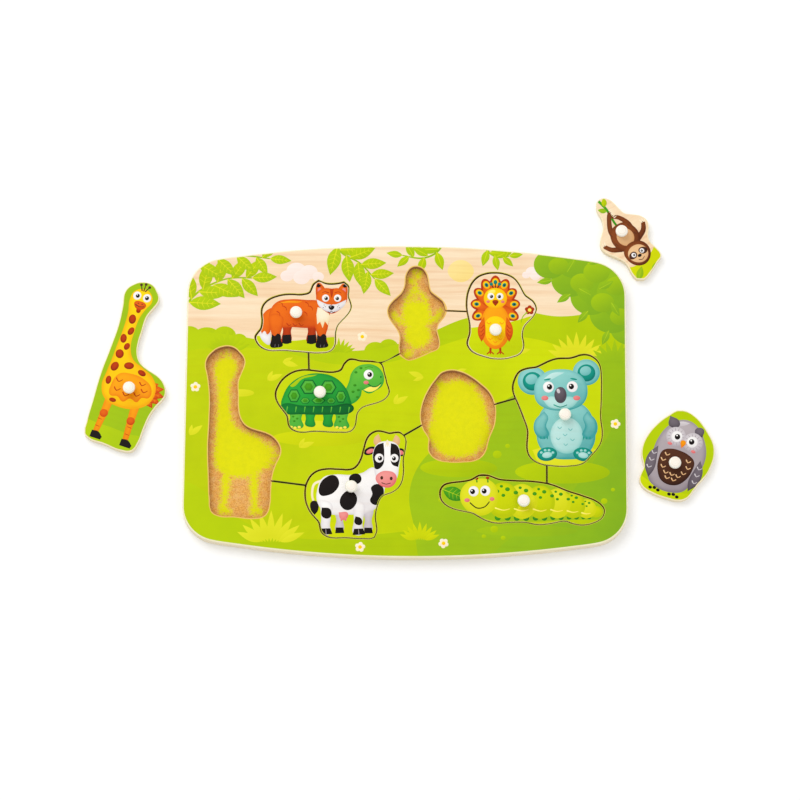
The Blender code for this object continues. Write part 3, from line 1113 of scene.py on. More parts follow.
@dataclass
class Knob:
    """A turned knob that stands on a piece. Heights are above the piece's face."""

    name: str
    seed: int
    head_radius: float = 4.2 * MM
    neck_radius: float = 2.55 * MM
    foot_radius: float = 3.0 * MM
    stem_radius: float = 2.3 * MM
    neck_height: float = 1.4 * MM
    head_height: float = 6.76 * MM
    stem_depth: float = 4.6 * MM
    foot_gap: float = 0.3 * MM
    bulge_height: float = 4.5 * MM
    bulge_half: float = 2.85 * MM
    sides: int = 56

    def profile(self) -> list[Point]:
        """Draws the knob's side from its top down to its stem's end.

        Returns:
            Radius and height of each point.
        """
        top = self.head_height
        points = [(0.0, top), (1.0 * MM, top - 0.02 * MM), (2.0 * MM, top - 0.08 * MM),
                  (2.7 * MM, top - 0.18 * MM)]
        for k in range(14):
            angle = radians(44 - k * 7.2)
            height = self.bulge_height + self.bulge_half * sin(angle)
            points.append((self.head_radius * cos(angle)**0.85, height))
        points += [(self.neck_radius + 0.10 * MM, 1.95 * MM), (self.neck_radius, self.neck_height),
                   (self.neck_radius + 0.08 * MM, 0.9 * MM), (self.foot_radius - 0.12 * MM, 0.55 * MM),
                   (self.foot_radius, self.foot_gap), (self.stem_radius, self.foot_gap),
                   (self.stem_radius, -self.stem_depth), (0.0, -self.stem_depth)]
        return points

    def build(self, place: Vector, turn: float, body: str) -> bpy.types.Object:
        """Builds the knob.

        Args:
            place: Where its axis meets the piece's face.
            turn: Turn of the piece in radians.
            body: The body that it rides on.

        Returns:
            The knob.
        """
        node = f"{self.name}_knob"
        mesh = bpy.data.meshes.new(f"{node}_turned")
        points = self.profile()
        mesh.from_pydata([(r, 0.0, z) for r, z in points], [(i, i + 1) for i in range(len(points) - 1)], [])
        made = linked(f"{node}_turned", mesh)
        turned = made.modifiers.new("Turned", "SCREW")
        turned.steps = turned.render_steps = self.sides
        turned.use_merge_vertices = True
        turned.merge_threshold = 0.00001
        turned.use_smooth_shade = True
        lacquer = KnobFinish(f"Lacquered knob {self.seed}", seed=float(self.seed))
        made.data.materials.append(lacquer.material())
        made.location = place
        made.rotation_euler = (0.0, 0.0, turn)
        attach(made, body)
        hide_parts(node)
        return made


@dataclass
class PuzzlePiece(Printed):
    """A sawn picture piece with its knob. Each kind draws its picture with the knob at the origin."""

    name: str = "piece"
    seed: int = 0
    turn: float = 0.0
    ground: Ink = Ink.LIME
    edge: float = 0.4 * MM
    step: float = 0.8 * MM
    unit: float = MM
    knob_hole: float = 2.45 * MM
    hole_sides: int = 28
    ground_marks: int = 1
    bare_rim: float = 0.0
    kerf: float = 0.8 * MM
    slid: Point = (0.22 * MM, -0.22 * MM)

    def outline(self) -> tuple[Loop, Vector, float, float]:
        """Reads the piece's outline from its solid.

        Returns:
            The smooth outline about the knob, the knob's place, and the heights of the two faces.
        """
        node = f"{self.name}_piece"
        low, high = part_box(node)
        stem_low, stem_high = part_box(f"{self.name}_knob")
        centre = (stem_low + stem_high) / 2
        loop = boundary_loops(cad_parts[node].data, low.z + self.edge)[0]
        back = Matrix.Rotation(-self.turn, 2)
        curve = smooth_loop(clockwise([p - centre.xy for p in loop]), self.step)
        own = [back @ p for p in held(curve, low.xy - centre.xy, high.xy - centre.xy)]
        return own, Vector((centre.x, centre.y, low.z)), low.z, high.z

    def recess(self, home: Array) -> Loop:
        """Gives the outline of the piece's cut-out.

        Args:
            home: Where its knob stands when it is seated.

        Returns:
            The piece's outline at its home, with the saw cut round it.
        """
        return grown([p + Vector(home) for p in self.outline()[0]], self.kerf)

    def build(self) -> tuple[bpy.types.Object, bpy.types.Object]:
        """Builds the piece and its knob.

        Returns:
            The piece and the knob.
        """
        node = f"{self.name}_piece"
        loop, place, low, high = self.outline()
        thick = high - low
        book = MeshBook(f"{node}_sawn", self.turn)
        side = PlySideFinish("Sawn plies of a piece", low=0.0, high=thick, scorch_and_shade=0.06)
        rim = SandedEdgeFinish("Sanded rim of a piece", tone="F8E9C6", tinted=0.10)
        if self.bare_rim == 0 and self.ground is not Ink.BARE:
            rim = SandedEdgeFinish("Inked rim of a piece", tone="D6D24E", tint="BECB1A", tinted=0.5)
        levels = [(-0.40, 0.0), (-0.12, 0.12), (0.0, 0.40), (0.0, thick / MM - 0.40),
                  (-0.12, thick / MM - 0.12), (-0.36, thick / MM)]
        rings = [book.ring(grown(loop, inset * MM), height * MM) for inset, height in levels]
        for i in range(len(rings) - 1):
            book.wall(rings[i], rings[i + 1], side if i in (1, 2) else rim)
        turns = [k * tau / self.hole_sides for k in range(self.hole_sides)]
        hole = [Vector((self.knob_hole * cos(angle), self.knob_hole * sin(angle))) for angle in turns]
        top_hole, low_hole = book.ring(hole, thick), book.ring(hole, 0.0)
        book.wall(low_hole, top_hole, side)
        face = grown(loop, levels[-1][0] * MM)
        if self.bare_rim > 0:
            inner = book.ring(grown(face, -self.bare_rim), thick)
            book.wall(rings[-1], inner, rim)
            face = grown(face, -self.bare_rim)
        book.sheet(face, [hole], thick, self.picture(), self.ground, self.unit, spacing=1.5 * MM)
        book.sheet(grown(loop, levels[0][0] * MM), [hole], 0.0, [], Ink.BARE, up=False)
        made = book.make()
        made.location = place + Vector((*self.slid, 0))
        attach(made, self.name)
        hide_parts(node)
        top = Vector((place.x + self.slid[0], place.y + self.slid[1], high))
        return made, Knob(self.name, self.seed).build(top, self.turn, self.name)


@dataclass
class FoxPiece(PuzzlePiece):
    """A fox that stands on grass."""

    name: str = "fox"
    seed: int = 1
    ground: Ink = Ink.BARE

    def draw(self) -> None:
        """Draws the fox."""
        self.fill(Ink.LIME, (-34, -17.4), (-20, -16.4), (-4, -19), (12, -17.6), (34, -18.6), (40, -34),
                  (0, -36), (-36, -34))
        self.draw_body()
        self.draw_head()

    def draw_body(self) -> None:
        """Draws the tail, the legs and the body."""
        self.blob(Ink.ORANGE, (-13, 4.4), (-18.6, 3.6), (-22.8, -0.6), (-24.8, -7.6), (-24.2, -15),
                  (-21, -20.6), (-18, -22), (-17, -17), (-17.4, -11), (-15.4, -5), (-11, -2))
        self.blob(Ink.WHITE, (-24.8, -10.2), (-24.4, -16), (-21, -20.8), (-18, -22), (-17.1, -17.6),
                  (-17.5, -12.6), (-19.4, -14.8), (-21.4, -12.2), (-23.2, -14.2))
        for x in (-9.2, 7.8):
            self.blob(Ink.DEEP_ORANGE, (x, -5), (x + 6.8, -5), (x + 5.8, -12), (x + 5.6, -20),
                      (x + 0.2, -20.4), (x + 0.4, -12))
            self.fill(Ink.BLACK, (x + 0.3, -15), (x + 5.7, -14.6), (x + 6.4, -20.4), (x + 3, -21.4),
                      (x - 0.3, -20.8), corner=50)
        self.blob(Ink.ORANGE, (-17.6, 3), (-13, 8.8), (-4, 10.6), (7, 10.2), (15, 9.6), (21.6, 5),
                  (22.8, -2), (19, -8), (9, -9.8), (-2, -9.4), (-12, -9.2), (-18, -4.6))
        for x in (-5.2, -1, 3.2):
            self.line(Ink.DEEP_ORANGE, 0.8, (x - 1.2, -6.6), (x + 0.4, -8.4), (x + 1.8, -7.2), end=0.3)
        for x in (-16.6, 14.4):
            self.blob(Ink.ORANGE, (x - 1.4, -1), (x + 7, -1.6), (x + 7.4, -9), (x + 6, -15),
                      (x + 6.8, -22.4), (x + 0.2, -23), (x + 0.2, -15.4), (x - 1.6, -8))
            self.fill(Ink.BLACK, (x + 0.1, -14.2), (x + 2.2, -15.8), (x + 4, -14), (x + 6.2, -15.2),
                      (x + 6.5, -19), (x + 7.8, -22.6), (x + 4, -24), (x - 0.6, -23.4), (x - 0.1, -18.6))
            for d in (2.4, 4.8):
                self.line(Ink.DARK_GREY, 0.5, (x + d, -23.4), (x + d + 0.2, -21.6), end=0.2)
        self.patch(Ink.CREAM, (14.6, 5), (20.8, 3.4), (23, -1), (21.8, -7.8), (19.6, -5), (18.2, -9.8),
                   (16.4, -5.4), (14.4, -7.2), (13.8, 0))
        for x, y in ((-10, 7.2), (-7.4, 4.4), (7.6, 7.4), (10.4, 4.6), (-11.8, 0.6), (6.8, 0.4)):
            self.line(Ink.DEEP_ORANGE, 0.9, (x - 1.4, y + 1.2), (x + 0.4, y), (x + 0.6, y - 2), end=0.2)
        self.fill(Ink.AMBER, (-12.6, 7.6), (-5, 9.4), (4, 9.2), (2, 8.2), (-6, 8.2))

    def draw_head(self) -> None:
        """Draws the head, which is the same on both sides."""
        ear = ((4.4, 16), (6.4, 21), (9.4, 22.6), (10.8, 19.4), (10.6, 12))
        tip = ((7, 20.4), (9.3, 22.2), (10.4, 19.6), (9, 19.2))
        inner = ((6.8, 16.6), (8.2, 19), (9.4, 18.4), (9.4, 15))
        cheek = ((10.2, 10.6), (6.6, 8.8), (3, 7.2), (0, 6.6), (0, 0.8), (4.6, 2.7), (9, 6.6))
        for side in (-1, 1):
            self.blob(Ink.ORANGE, *[(24 + side * x, y) for x, y in ear])
            self.fill(Ink.BLACK, *[(24 + side * x, y) for x, y in tip])
            self.blob(Ink.PINK, *[(24 + side * x, y) for x, y in inner])
        self.blob(Ink.ORANGE, (13.4, 11.6), (15.2, 16.8), (20, 18.8), (24, 18.4), (28, 18.8), (32.8, 16.8),
                  (34.8, 11.6), (33, 7), (28.6, 2.4), (24, 0.4), (19.4, 2.4), (15, 7))
        self.fill(Ink.DEEP_ORANGE, (22.6, 18.6), (24, 18.3), (25.4, 18.6), (24.6, 13.4), (24, 11.6),
                  (23.4, 13.4))
        for side in (-1, 1):
            self.blob(Ink.WHITE, *[(24 + side * x, y) for x, y in cheek])
            self.line(Ink.DEEP_ORANGE, 0.9, (24 + side * 2.2, 15.4), (24 + side * 4.6, 16.2),
                      (24 + side * 6.6, 15.2), end=0.4)
            for d, e in ((4.2, 5.4), (5.6, 4.8), (5, 6.6)):
                self.oval(Ink.DARK_GREY, 24 + side * d, e, 0.32, 0.32, edge=0)
        self.fill(Ink.BLACK, (21.9, 5.6), (24, 6.4), (26.1, 5.6), (25.2, 3.6), (24, 2.9), (22.8, 3.6))
        self.oval(Ink.GREY, 23.4, 5.4, 0.7, 0.35, edge=0)
        self.line(Ink.BLACK, 0.5, (21.6, 1.9), (22.8, 1.3), (24, 2.2), (25.2, 1.3), (26.4, 1.9), end=0.4)
        self.eye(19.9, 11.6, 2.5, 0.4, -0.2)
        self.eye(28.1, 11.6, 2.5, -0.2, -0.2)


@dataclass
class TortoisePiece(PuzzlePiece):
    """A tortoise with a domed shell."""

    name: str = "tortoise"
    seed: int = 2

    def draw(self) -> None:
        """Draws the tortoise."""
        self.fill(Ink.YELLOW_GREEN, (-28, -22), (-8, -19), (14, -21), (24, -24), (14, -27.6), (-14, -27.6),
                  (-25, -26))
        self.blob(Ink.MINT, (-21, -8.6), (-27.4, -8.8), (-26.6, -13), (-20, -14))
        for x in (-9.6, 2.4):
            self.blob(Ink.GREEN, (x + 0.4, -12), (x + 6.6, -12), (x + 6, -18), (x + 6.6, -22.6),
                      (x + 2.4, -23.4), (x - 0.2, -22), (x + 0.2, -18))
        self.draw_head()
        for x in (-20.4, 10.6):
            self.blob(Ink.MINT, (x, -11), (x + 8.6, -11), (x + 8, -18), (x + 9.4, -23.4), (x + 4.2, -24.6),
                      (x - 0.6, -23.2), (x + 0.4, -17))
            for d, e in ((1.2, -23.6), (3.8, -24.1), (6.6, -23.6)):
                self.oval(Ink.PALE_YELLOW, x + d, e, 1.15, 0.85)
            for d, e in ((2.4, -16.2), (5.2, -17.6), (3.2, -19.4)):
                self.oval(Ink.SPOT_GREEN, x + d, e, 0.9, 0.7)
        self.draw_shell()

    def draw_head(self) -> None:
        """Draws the neck and the head."""
        self.blob(Ink.MINT, (13, -8), (22, -7), (27.4, -2), (28.4, 3), (33, 0.4), (38, 2.6), (42.2, 6),
                  (43.4, 11), (41.6, 16.6), (37, 20.4), (31, 21.2), (25, 19.4), (21, 14.6), (19.6, 9),
                  (17, 3), (12, -2))
        self.blob(Ink.PALE_YELLOW, (29.4, 2.9), (34, 1.6), (38.6, 3.6), (41.4, 7), (38, 5.6), (33.4, 5),
                  edge=0.1)
        self.line(Ink.DEEP_GREEN, 0.85, (32.4, 7.2), (35.8, 5.2), (39.2, 5.8), (41.4, 8.2), end=0.6)
        self.oval(Ink.PINK, 31.2, 8.2, 1.8, 1.3)
        self.oval(Ink.DEEP_GREEN, 41.2, 12.2, 0.55, 0.8, edge=0)
        for x, y in ((23.6, 6.2), (26, 2.8), (22.4, 1.6), (25.4, -2.2), (24.2, 15.4), (27.6, 18.4)):
            self.oval(Ink.SPOT_GREEN, x, y, 1.1, 0.9)
        self.line(Ink.SPOT_GREEN, 0.8, (30.4, 18.6), (33, 19.4), (35.6, 18.8), end=0.4)
        self.eye(32.8, 13.8, 3.3, 0.8)

    def draw_shell(self) -> None:
        """Draws the shell with its plates."""
        self.blob(Ink.GREEN, (-25.6, -9.2), (-24.8, -1), (-19.4, 7.8), (-10, 13.2), (0, 14.4), (9.6, 11.8),
                  (16.6, 5.4), (20.4, -3), (21, -9.2), (10, -11.4), (-12, -11.4), shade=(0, 0.8))
        plates = ((-7.8, 4.8, 5.9, 5.8), (5.6, 4.6, 5.6, 5.6), (-17.6, -1.6, 4.4, 5.2), (14.2, -2, 3.8, 4.8),
                  (-1, -4.8, 4.8, 2.6), (-10, -5, 3.4, 2.4), (7.6, -5, 3.2, 2.4))
        for x, y, w, h in plates:
            for ink, part in ((Ink.DEEP_GREEN, 1), (Ink.MINT, 0.84), (Ink.SPOT_GREEN, 0.52)):
                corners = [(x + part * w * cos(radians(60 * k)), y + part * h * sin(radians(60 * k)))
                           for k in range(6)]
                self.patch(ink, *corners, shade=(0, 0.5))
        self.fill(Ink.FERN, (-20.6, 5.6), (-12, 12), (-2, 13.6), (-4, 12.6), (-12, 10.4), (-19, 4.6))
        self.blob(Ink.DEEP_GREEN, (-27, -10.2), (-25.4, -7.6), (-12, -8.4), (8, -8.4), (21.6, -7.6),
                  (23.2, -10.4), (20.6, -13.4), (8, -14.6), (-12, -14.6), (-24.6, -13.6))
        for x in (-22, -16, -10, -4, 2, 8, 14, 20):
            self.line(Ink.MINT, 0.8, (x, -9.4), (x - 0.5, -13), end=0.5)


@dataclass
class PeacockPiece(PuzzlePiece):
    """A fan-tailed bird that faces forwards."""

    name: str = "peacock"
    seed: int = 3
    ground: Ink = Ink.BARE

    def draw(self) -> None:
        """Draws the bird."""
        self.fill(Ink.LIME, (-30, -1), (-14, 3), (2, 4), (14, 8), (32, 10), (36, -24), (0, -30), (-32, -26))
        self.draw_fan()
        for side in (-1, 1):
            self.line(Ink.DEEP_ORANGE, 1.5, (side * 3.2, -10), (side * 3.4, -14.2))
            for d in (-2.3, 0, 2.3):
                self.line(Ink.DEEP_ORANGE, 1, (side * 3.4, -14), (side * 3.4 + d, -16), end=0.7)
        self.blob(Ink.AMBER, (-8.6, 12), (-10, 2), (-8.4, -6), (-3, -11.8), (3, -11.8), (8.4, -6), (10, 2),
                  (8.6, 12), (4, 18), (-4, 18))
        self.blob(Ink.YELLOW, (-6, 8), (-6.8, 0), (-4.8, -6.8), (0, -10), (4.8, -6.8), (6.8, 0), (6, 8),
                  (0, 11), edge=0.2)
        for x, y in ((-3.4, -5.4), (3.4, -5.4), (0, -7.6), (-4.4, 5.8), (4.4, 5.8)):
            self.line(Ink.AMBER, 0.8, (x - 1.3, y + 0.8), (x, y - 0.4), (x + 1.3, y + 0.8), end=0.5)
        for side in (-1, 1):
            self.blob(Ink.ORANGE, (side * 7.6, 10.6), (side * 11.4, 4.4), (side * 11.8, -2),
                      (side * 9.4, -7.4), (side * 7, -2))
            for d in (0, 2.8, 5.6):
                self.line(Ink.DEEP_ORANGE, 0.7, (side * 8, 4.6 - d), (side * 9.6, 2.4 - d),
                          (side * 10.8, 2.8 - d), end=0.3)
        self.draw_head()
        for k in range(5):
            angle = k * tau / 5 + 0.3
            self.oval(Ink.DEEP_ORANGE, 23.4 + 1.9 * cos(angle), 15.6 + 1.9 * sin(angle), 1.5, 1.5)
        self.oval(Ink.PALE_YELLOW, 23.4, 15.6, 1.3, 1.3)
        self.line(Ink.GRASS, 0.9, (21.6, 13.8), (18.6, 10.6), (17.6, 6.6), end=0.5)

    def draw_fan(self) -> None:
        """Draws the tail feathers."""
        rings = ((Ink.DEEP_ORANGE, 16.4, 21.4, 4.7), (Ink.ORANGE, 13.6, 17.6, 4.2))
        for ink, reach_x, reach_y, wide in rings:
            for k in range(9):
                angle = radians(203 - k * 28.25)
                x, y = reach_x * 0.52 * cos(angle), 18 + reach_y * 0.52 * sin(angle)
                tilt = degrees(atan2(reach_y * sin(angle), reach_x * cos(angle)))
                length = hypot(reach_x * cos(angle), reach_y * sin(angle)) * 0.52
                self.oval(ink, x, y, length, wide, tilt, toward=(cos(angle), sin(angle)), shade=(0.7, 0))
        for k in range(9):
            angle = radians(203 - k * 28.25)
            x, y = 12.9 * cos(angle), 18 + 17.4 * sin(angle)
            tilt = degrees(angle)
            self.oval(Ink.YELLOW, x, y, 2.9, 2.3, tilt)
            self.oval(Ink.DEEP_TEAL, x, y, 1.6, 1.3, tilt)
            self.oval(Ink.BLACK, x, y, 0.6, 0.6, tilt, edge=0)

    def draw_head(self) -> None:
        """Draws the head with its crest."""
        for x, y in ((-2.8, 34), (0, 35.4), (2.8, 34)):
            self.line(Ink.DARK_BROWN, 0.7, (x * 0.3, 30), (x, y))
            self.oval(Ink.DEEP_TEAL, x, y, 1.25, 1.25)
        self.oval(Ink.YELLOW, 0, 23.8, 8, 7.5)
        self.oval(Ink.PALE_YELLOW, -2.6, 28.2, 2.8, 1.5, 24, edge=0)
        self.eye(-3.1, 25.2, 2.35, 0.4, -0.1)
        self.eye(3.1, 25.2, 2.35, -0.4, -0.1)
        self.oval(Ink.PINK, -5, 21.4, 1.3, 1)
        self.oval(Ink.PINK, 5, 21.4, 1.3, 1)
        self.blob(Ink.DEEP_ORANGE, (-2.1, 21.8), (0, 22.7), (2.1, 21.8), (0, 18.2))
        self.line(Ink.DARK_BROWN, 0.4, (-1.6, 21.4), (0, 20.9), (1.6, 21.4), end=0.3)


@dataclass
class KoalaPiece(PuzzlePiece):
    """A koala that sits and looks ahead."""

    name: str = "koala"
    seed: int = 4

    def draw(self) -> None:
        """Draws the koala."""
        self.fill(Ink.YELLOW_GREEN, (-22, -24), (-10, -21), (6, -20.6), (20, -23), (26, -29), (16, -35.4),
                  (-2, -36), (-17, -33))
        for x, y, r in ((-21.8, 24.8, 10), (14.9, 31, 9.2)):
            self.oval(Ink.TEAL, x, y, r, r)
            self.oval(Ink.DEEP_TEAL, x, y - 0.4, r * 0.66, r * 0.66)
            self.oval(Ink.TEAL, x - 0.6, y + 1, r * 0.42, r * 0.36, 20, edge=0.1)
        self.draw_body()
        self.draw_head()

    def draw_body(self) -> None:
        """Draws the body, the arms and the feet."""
        self.blob(Ink.TEAL, (-15.4, 4), (-18.6, -8), (-17.8, -20), (-9.6, -28.6), (2, -30.4), (13, -28.2),
                  (19.9, -19), (20.2, -8), (16.4, 4), (8, 10), (-8, 10), shade=(0.1, 0.8))
        self.oval(Ink.PALE_TEAL, 1.2, -13.6, 11, 12.8)
        for x, y in ((-3.4, -8.4), (3.8, -9.6), (0.2, -13.4), (-4.4, -16.2), (5.2, -16.8), (0.6, -20.2)):
            self.line(Ink.TEAL, 0.8, (x - 1.3, y + 0.8), (x, y - 0.5), (x + 1.3, y + 0.8), end=0.5)
        for side, x in ((-1, -15), (1, 16.2)):
            self.blob(Ink.TEAL, (x - side * 1, 3.4), (x + side * 5.4, -4), (x + side * 5, -12.4), (x, -16.4),
                      (x - side * 4.4, -13.4), (x - side * 2.4, -7), (x - side * 3.8, -1), shade=(0.2, 0.9),
                      edge=0.6)
            for d in (-2.4, -0.2, 2):
                self.line(Ink.DEEP_TEAL, 0.8, (x + d - side * 1.2, -14.6), (x + d - side * 1.2, -16.2),
                          end=0.5)
        for x, tilt in ((-12, 8), (12.4, -8)):
            self.oval(Ink.DEEP_TEAL, x, -26.8, 6.8, 4.8, tilt)
            self.oval(Ink.PALE_TEAL, x, -27.4, 3.4, 2.1, tilt)
            for d in (-3.9, -1.3, 1.3, 3.9):
                self.oval(Ink.PALE_TEAL, x + d, -23.9 - 0.12 * d * d, 0.95, 0.85)

    def draw_head(self) -> None:
        """Draws the head."""
        self.blob(Ink.TEAL, (-20.6, 16), (-18.8, 25.4), (-11.6, 31.4), (-3, 33), (6, 31.8), (13, 26.6),
                  (15.6, 17.6), (12.8, 9.2), (5.4, 4.8), (-3, 3.8), (-12, 5), (-18.6, 9.4),
                  shade=(-0.1, 0.7))
        self.blob(Ink.PALE_TEAL, (-14, 26.4), (-8, 30.4), (0, 30.8), (-4, 28.6), (-10, 25.6), edge=0,
                  shade=(0, 0.3))
        self.blob(Ink.PALE_TEAL, (-14.8, 11.4), (-9.6, 13.8), (-3, 12.8), (4, 13.8), (9.6, 11.2), (5, 6.4),
                  (-3, 5), (-10.6, 6.4))
        self.oval(Ink.PINK, -13.4, 12.6, 2.4, 1.7)
        self.oval(Ink.PINK, 8.2, 12.8, 2.4, 1.7)
        self.oval(Ink.DARK_GREY, -2.8, 14.8, 4.2, 5.8, shade=(0.3, 1))
        self.oval(Ink.PALE_GREY, -4.2, 17.6, 1.1, 1.7, 20, edge=0)
        self.line(Ink.DEEP_TEAL, 0.8, (-7.4, 7.9), (-2.9, 6.3), (1.6, 7.9), end=0.6)
        self.eye(-11, 20.4, 3.7, 0.8, 0.1)
        self.eye(5.2, 20.8, 3.7, -0.6, 0.1)
        for x, y, tilt in ((-11.6, 25.8, 12), (6.2, 26.2, -10)):
            self.oval(Ink.DEEP_TEAL, x, y, 2.4, 0.6, tilt, edge=0)


@dataclass
class InchwormPiece(PuzzlePiece):
    """A plump inchworm that nibbles a leaf."""

    name: str = "inchworm"
    seed: int = 5
    ground: Ink = Ink.GRASS

    def draw(self) -> None:
        """Draws the inchworm."""
        self.fill(Ink.LIME, (-48, -7.6), (-34, -9), (-20, -13), (8, -13.4), (34, -12), (52, -11.6),
                  (44, -16), (8, -18), (-30, -14))
        self.leaf(Ink.SPOT_GREEN, -54.4, 8.6, 18, 9.6, -22, Ink.LEAF_LINE)
        self.draw_rings()
        self.draw_head()

    def draw_rings(self) -> None:
        """Draws the body's rings from the tail to the head, with feet and spots."""
        rings = ((48.8, -6.2, 4.4, 4), (42.4, -4.2, 6.6, 6.6), (33.4, -2, 8.2, 8.8), (22.8, -0.6, 9, 10.4),
                 (11.4, 0.2, 9.8, 11.6), (-1, 0.6, 10.4, 12.2), (-13.6, 1.2, 10.8, 12.6))
        for x, y, rx, ry in rings[1:]:
            for d in (-0.34, 0.26):
                self.oval(Ink.SPOT_GREEN, x + rx * d, y - ry * 0.94, rx * 0.2, ry * 0.17)
        for i, (x, y, rx, ry) in enumerate(rings):
            self.oval(Ink.YELLOW_GREEN if i % 2 else Ink.PALE_LIME, x, y, rx, ry, shade=(-0.1, 1), edge=0.9,
                      soft=rx * 0.34)
        for x, y, rx, ry in rings[1:]:
            for d, e, s in ((-0.40, 0.50, 1), (0.26, 0.62, 1), (0, 0.28, 0.8), (-0.12, 0.78, 0.7)):
                self.oval(Ink.SPOT_GREEN, x + d * rx, y + e * ry, rx * 0.15 * s, ry * 0.11 * s, edge=0.2)
            self.line(Ink.PALE_YELLOW, 1, (x - rx * 0.5, y - ry * 0.42), (x, y - ry * 0.54),
                      (x + rx * 0.4, y - ry * 0.46), end=0.4)

    def draw_head(self) -> None:
        """Draws the head with its feelers."""
        self.blob(Ink.YELLOW_GREEN, (-42.8, 4.4), (-39.8, 11.8), (-32.6, 15.6), (-24.4, 15.8), (-18.4, 10.8),
                  (-17.2, 2.6), (-20.4, -5.4), (-27.4, -9.4), (-35.4, -7.6), (-41, -2.2), shade=(-0.2, 0.8),
                  edge=0.7, soft=3.4)
        for x, y in ((-31.6, 16.4), (-24.2, 16.8)):
            self.line(Ink.SPOT_GREEN, 1, (x + 0.2, 13.8), (x, y), end=0.7)
            self.oval(Ink.DEEP_ORANGE, x, y, 1.2, 1)
        self.eye(-33.6, 7.4, 3.4, -0.7, -0.2)
        self.eye(-25.8, 7.8, 3.4, -0.7, -0.2)
        self.line(Ink.BLACK, 0.8, (-36, -0.6), (-31.4, -4.2), (-26.2, -3.4), (-23, 0.2), end=0.7)
        self.oval(Ink.PINK, -38, 1.2, 1.9, 1.4)
        self.oval(Ink.PINK, -21.2, 2.2, 1.7, 1.4)


@dataclass
class OstrichPiece(PuzzlePiece):
    """A long-necked bird that looks ahead."""

    name: str = "ostrich"
    seed: int = 6
    turn: float = radians(-17.0)
    ground: Ink = Ink.GRASS
    bare_rim: float = 0.3 * MM
    slid: Point = (0.0, 0.0)

    def draw(self) -> None:
        """Draws the bird."""
        self.fill(Ink.FERN, (-30, -31), (-10, -29), (8, -30), (30, -32), (30, -52), (0, -54), (-30, -50))
        for x0, x1 in ((-10.4, -12.6), (7.4, 8.6)):
            self.line(Ink.AMBER, 6.6, (x0, -4), (x0 + (x1 - x0) * 0.4, -20), (x1, -35.4), end=3.6, edge=0.45)
            self.oval(Ink.ORANGE, x0 + (x1 - x0) * 0.42, -21, 2.9, 2.8)
            for d in (-0.9, 0.4):
                self.line(Ink.DEEP_ORANGE, 0.5, (x1 - 1.4, -27 + d * 4), (x1 + 1.4, -27.3 + d * 4), end=0.3)
            self.fill(Ink.BLACK, (x1 - 2.6, -34.6), (x1 + 1.8, -34.4), (x1 + 5.4, -37.4), (x1 + 4.8, -39.6),
                      (x1 - 2.8, -39.4), corner=50)
        for angle, length in ((-40, 15), (-20, 16.5), (0, 17), (20, 16), (38, 13)):
            self.leaf(Ink.ORANGE, 7.6, 1.6, length, 7, angle, Ink.AMBER)
        self.draw_body()
        self.draw_head()

    def draw_body(self) -> None:
        """Draws the body, the neck and their spots."""
        self.blob(Ink.YELLOW, (-19, 6), (-18.4, 16), (-18.2, 26), (-17.8, 40), (-18.4, 52), (-20.2, 60.6),
                  (-19, 67.4), (-13.6, 70.8), (-7.6, 69), (-5, 63.6), (-7.6, 57), (-9.6, 50), (-9.8, 40),
                  (-8.8, 29), (-4.4, 21), (4, 17), (12, 13), (17.2, 5), (15.6, -6), (7, -12.4), (-5, -13.8),
                  (-14.6, -10.6), (-19.2, -2), edge=0.55, soft=3.4)
        self.blob(Ink.AMBER, (-10, 8.6), (-2, 10.8), (7, 9.8), (14, 5), (14.4, -2), (9.6, -3.4), (7.6, -7.2),
                  (2.4, -6), (-1.6, -9.6), (-6.4, -7), (-11.4, -7.6), (-13, 0), edge=0.5)
        for x, y in ((-8.2, -2.8), (-1.4, -4.8), (5.8, -2.8), (9.8, 1), (-8.8, 3.6), (7.2, 5.4)):
            self.line(Ink.DEEP_ORANGE, 0.9, (x - 2.2, y + 1.5), (x, y - 0.5), (x + 2.2, y + 1.5), end=0.5)
        spots = ((-14, 48, 2.5, 3.4, 10), (-12.2, 39.6, 2, 3, -14), (-15.4, 33.2, 2.2, 3.2, 12),
                 (-11.4, 28.4, 1.9, 2.6, -10), (-14.4, 22, 2.8, 3.2, 20), (-14.8, 12.6, 2.6, 3.4, -12),
                 (-5.6, 15.8, 3.4, 2.5, 14), (4.4, 13.4, 3, 1.9, -16), (-15.8, 2.2, 1.9, 3, 8),
                 (-12, 55.2, 1.6, 2, 0), (-8.6, -10.4, 2.4, 1.5, 0))
        for x, y, rx, ry, tilt in spots:
            self.oval(Ink.DEEP_ORANGE, x, y, rx, ry, tilt, edge=0.6, soft=1.6)

    def draw_head(self) -> None:
        """Draws the crest, the eyes and the beak."""
        for d, top in ((-2.9, 73.2), (0.1, 74.4), (3.1, 73)):
            self.line(Ink.DARK_BROWN, 0.9, (-13 + d * 0.4, 69.4), (-13 + d, top), end=0.5)
            self.oval(Ink.DARK_BROWN, -13 + d, top, 1, 1, edge=0)
        self.eye(-16.2, 65, 2.8, 0.4)
        self.eye(-9.2, 65.2, 2.8, 0)
        self.blob(Ink.ORANGE, (-16.4, 60.4), (-12.4, 61.8), (-8.2, 60.2), (-9, 57.2), (-12.4, 55.6),
                  (-15.6, 57.4))
        self.line(Ink.DARK_BROWN, 0.6, (-15.4, 58.8), (-12.3, 57.8), (-9.2, 58.8), end=0.4)
        for x in (-13.8, -11):
            self.oval(Ink.DARK_BROWN, x, 60, 0.45, 0.35, edge=0)


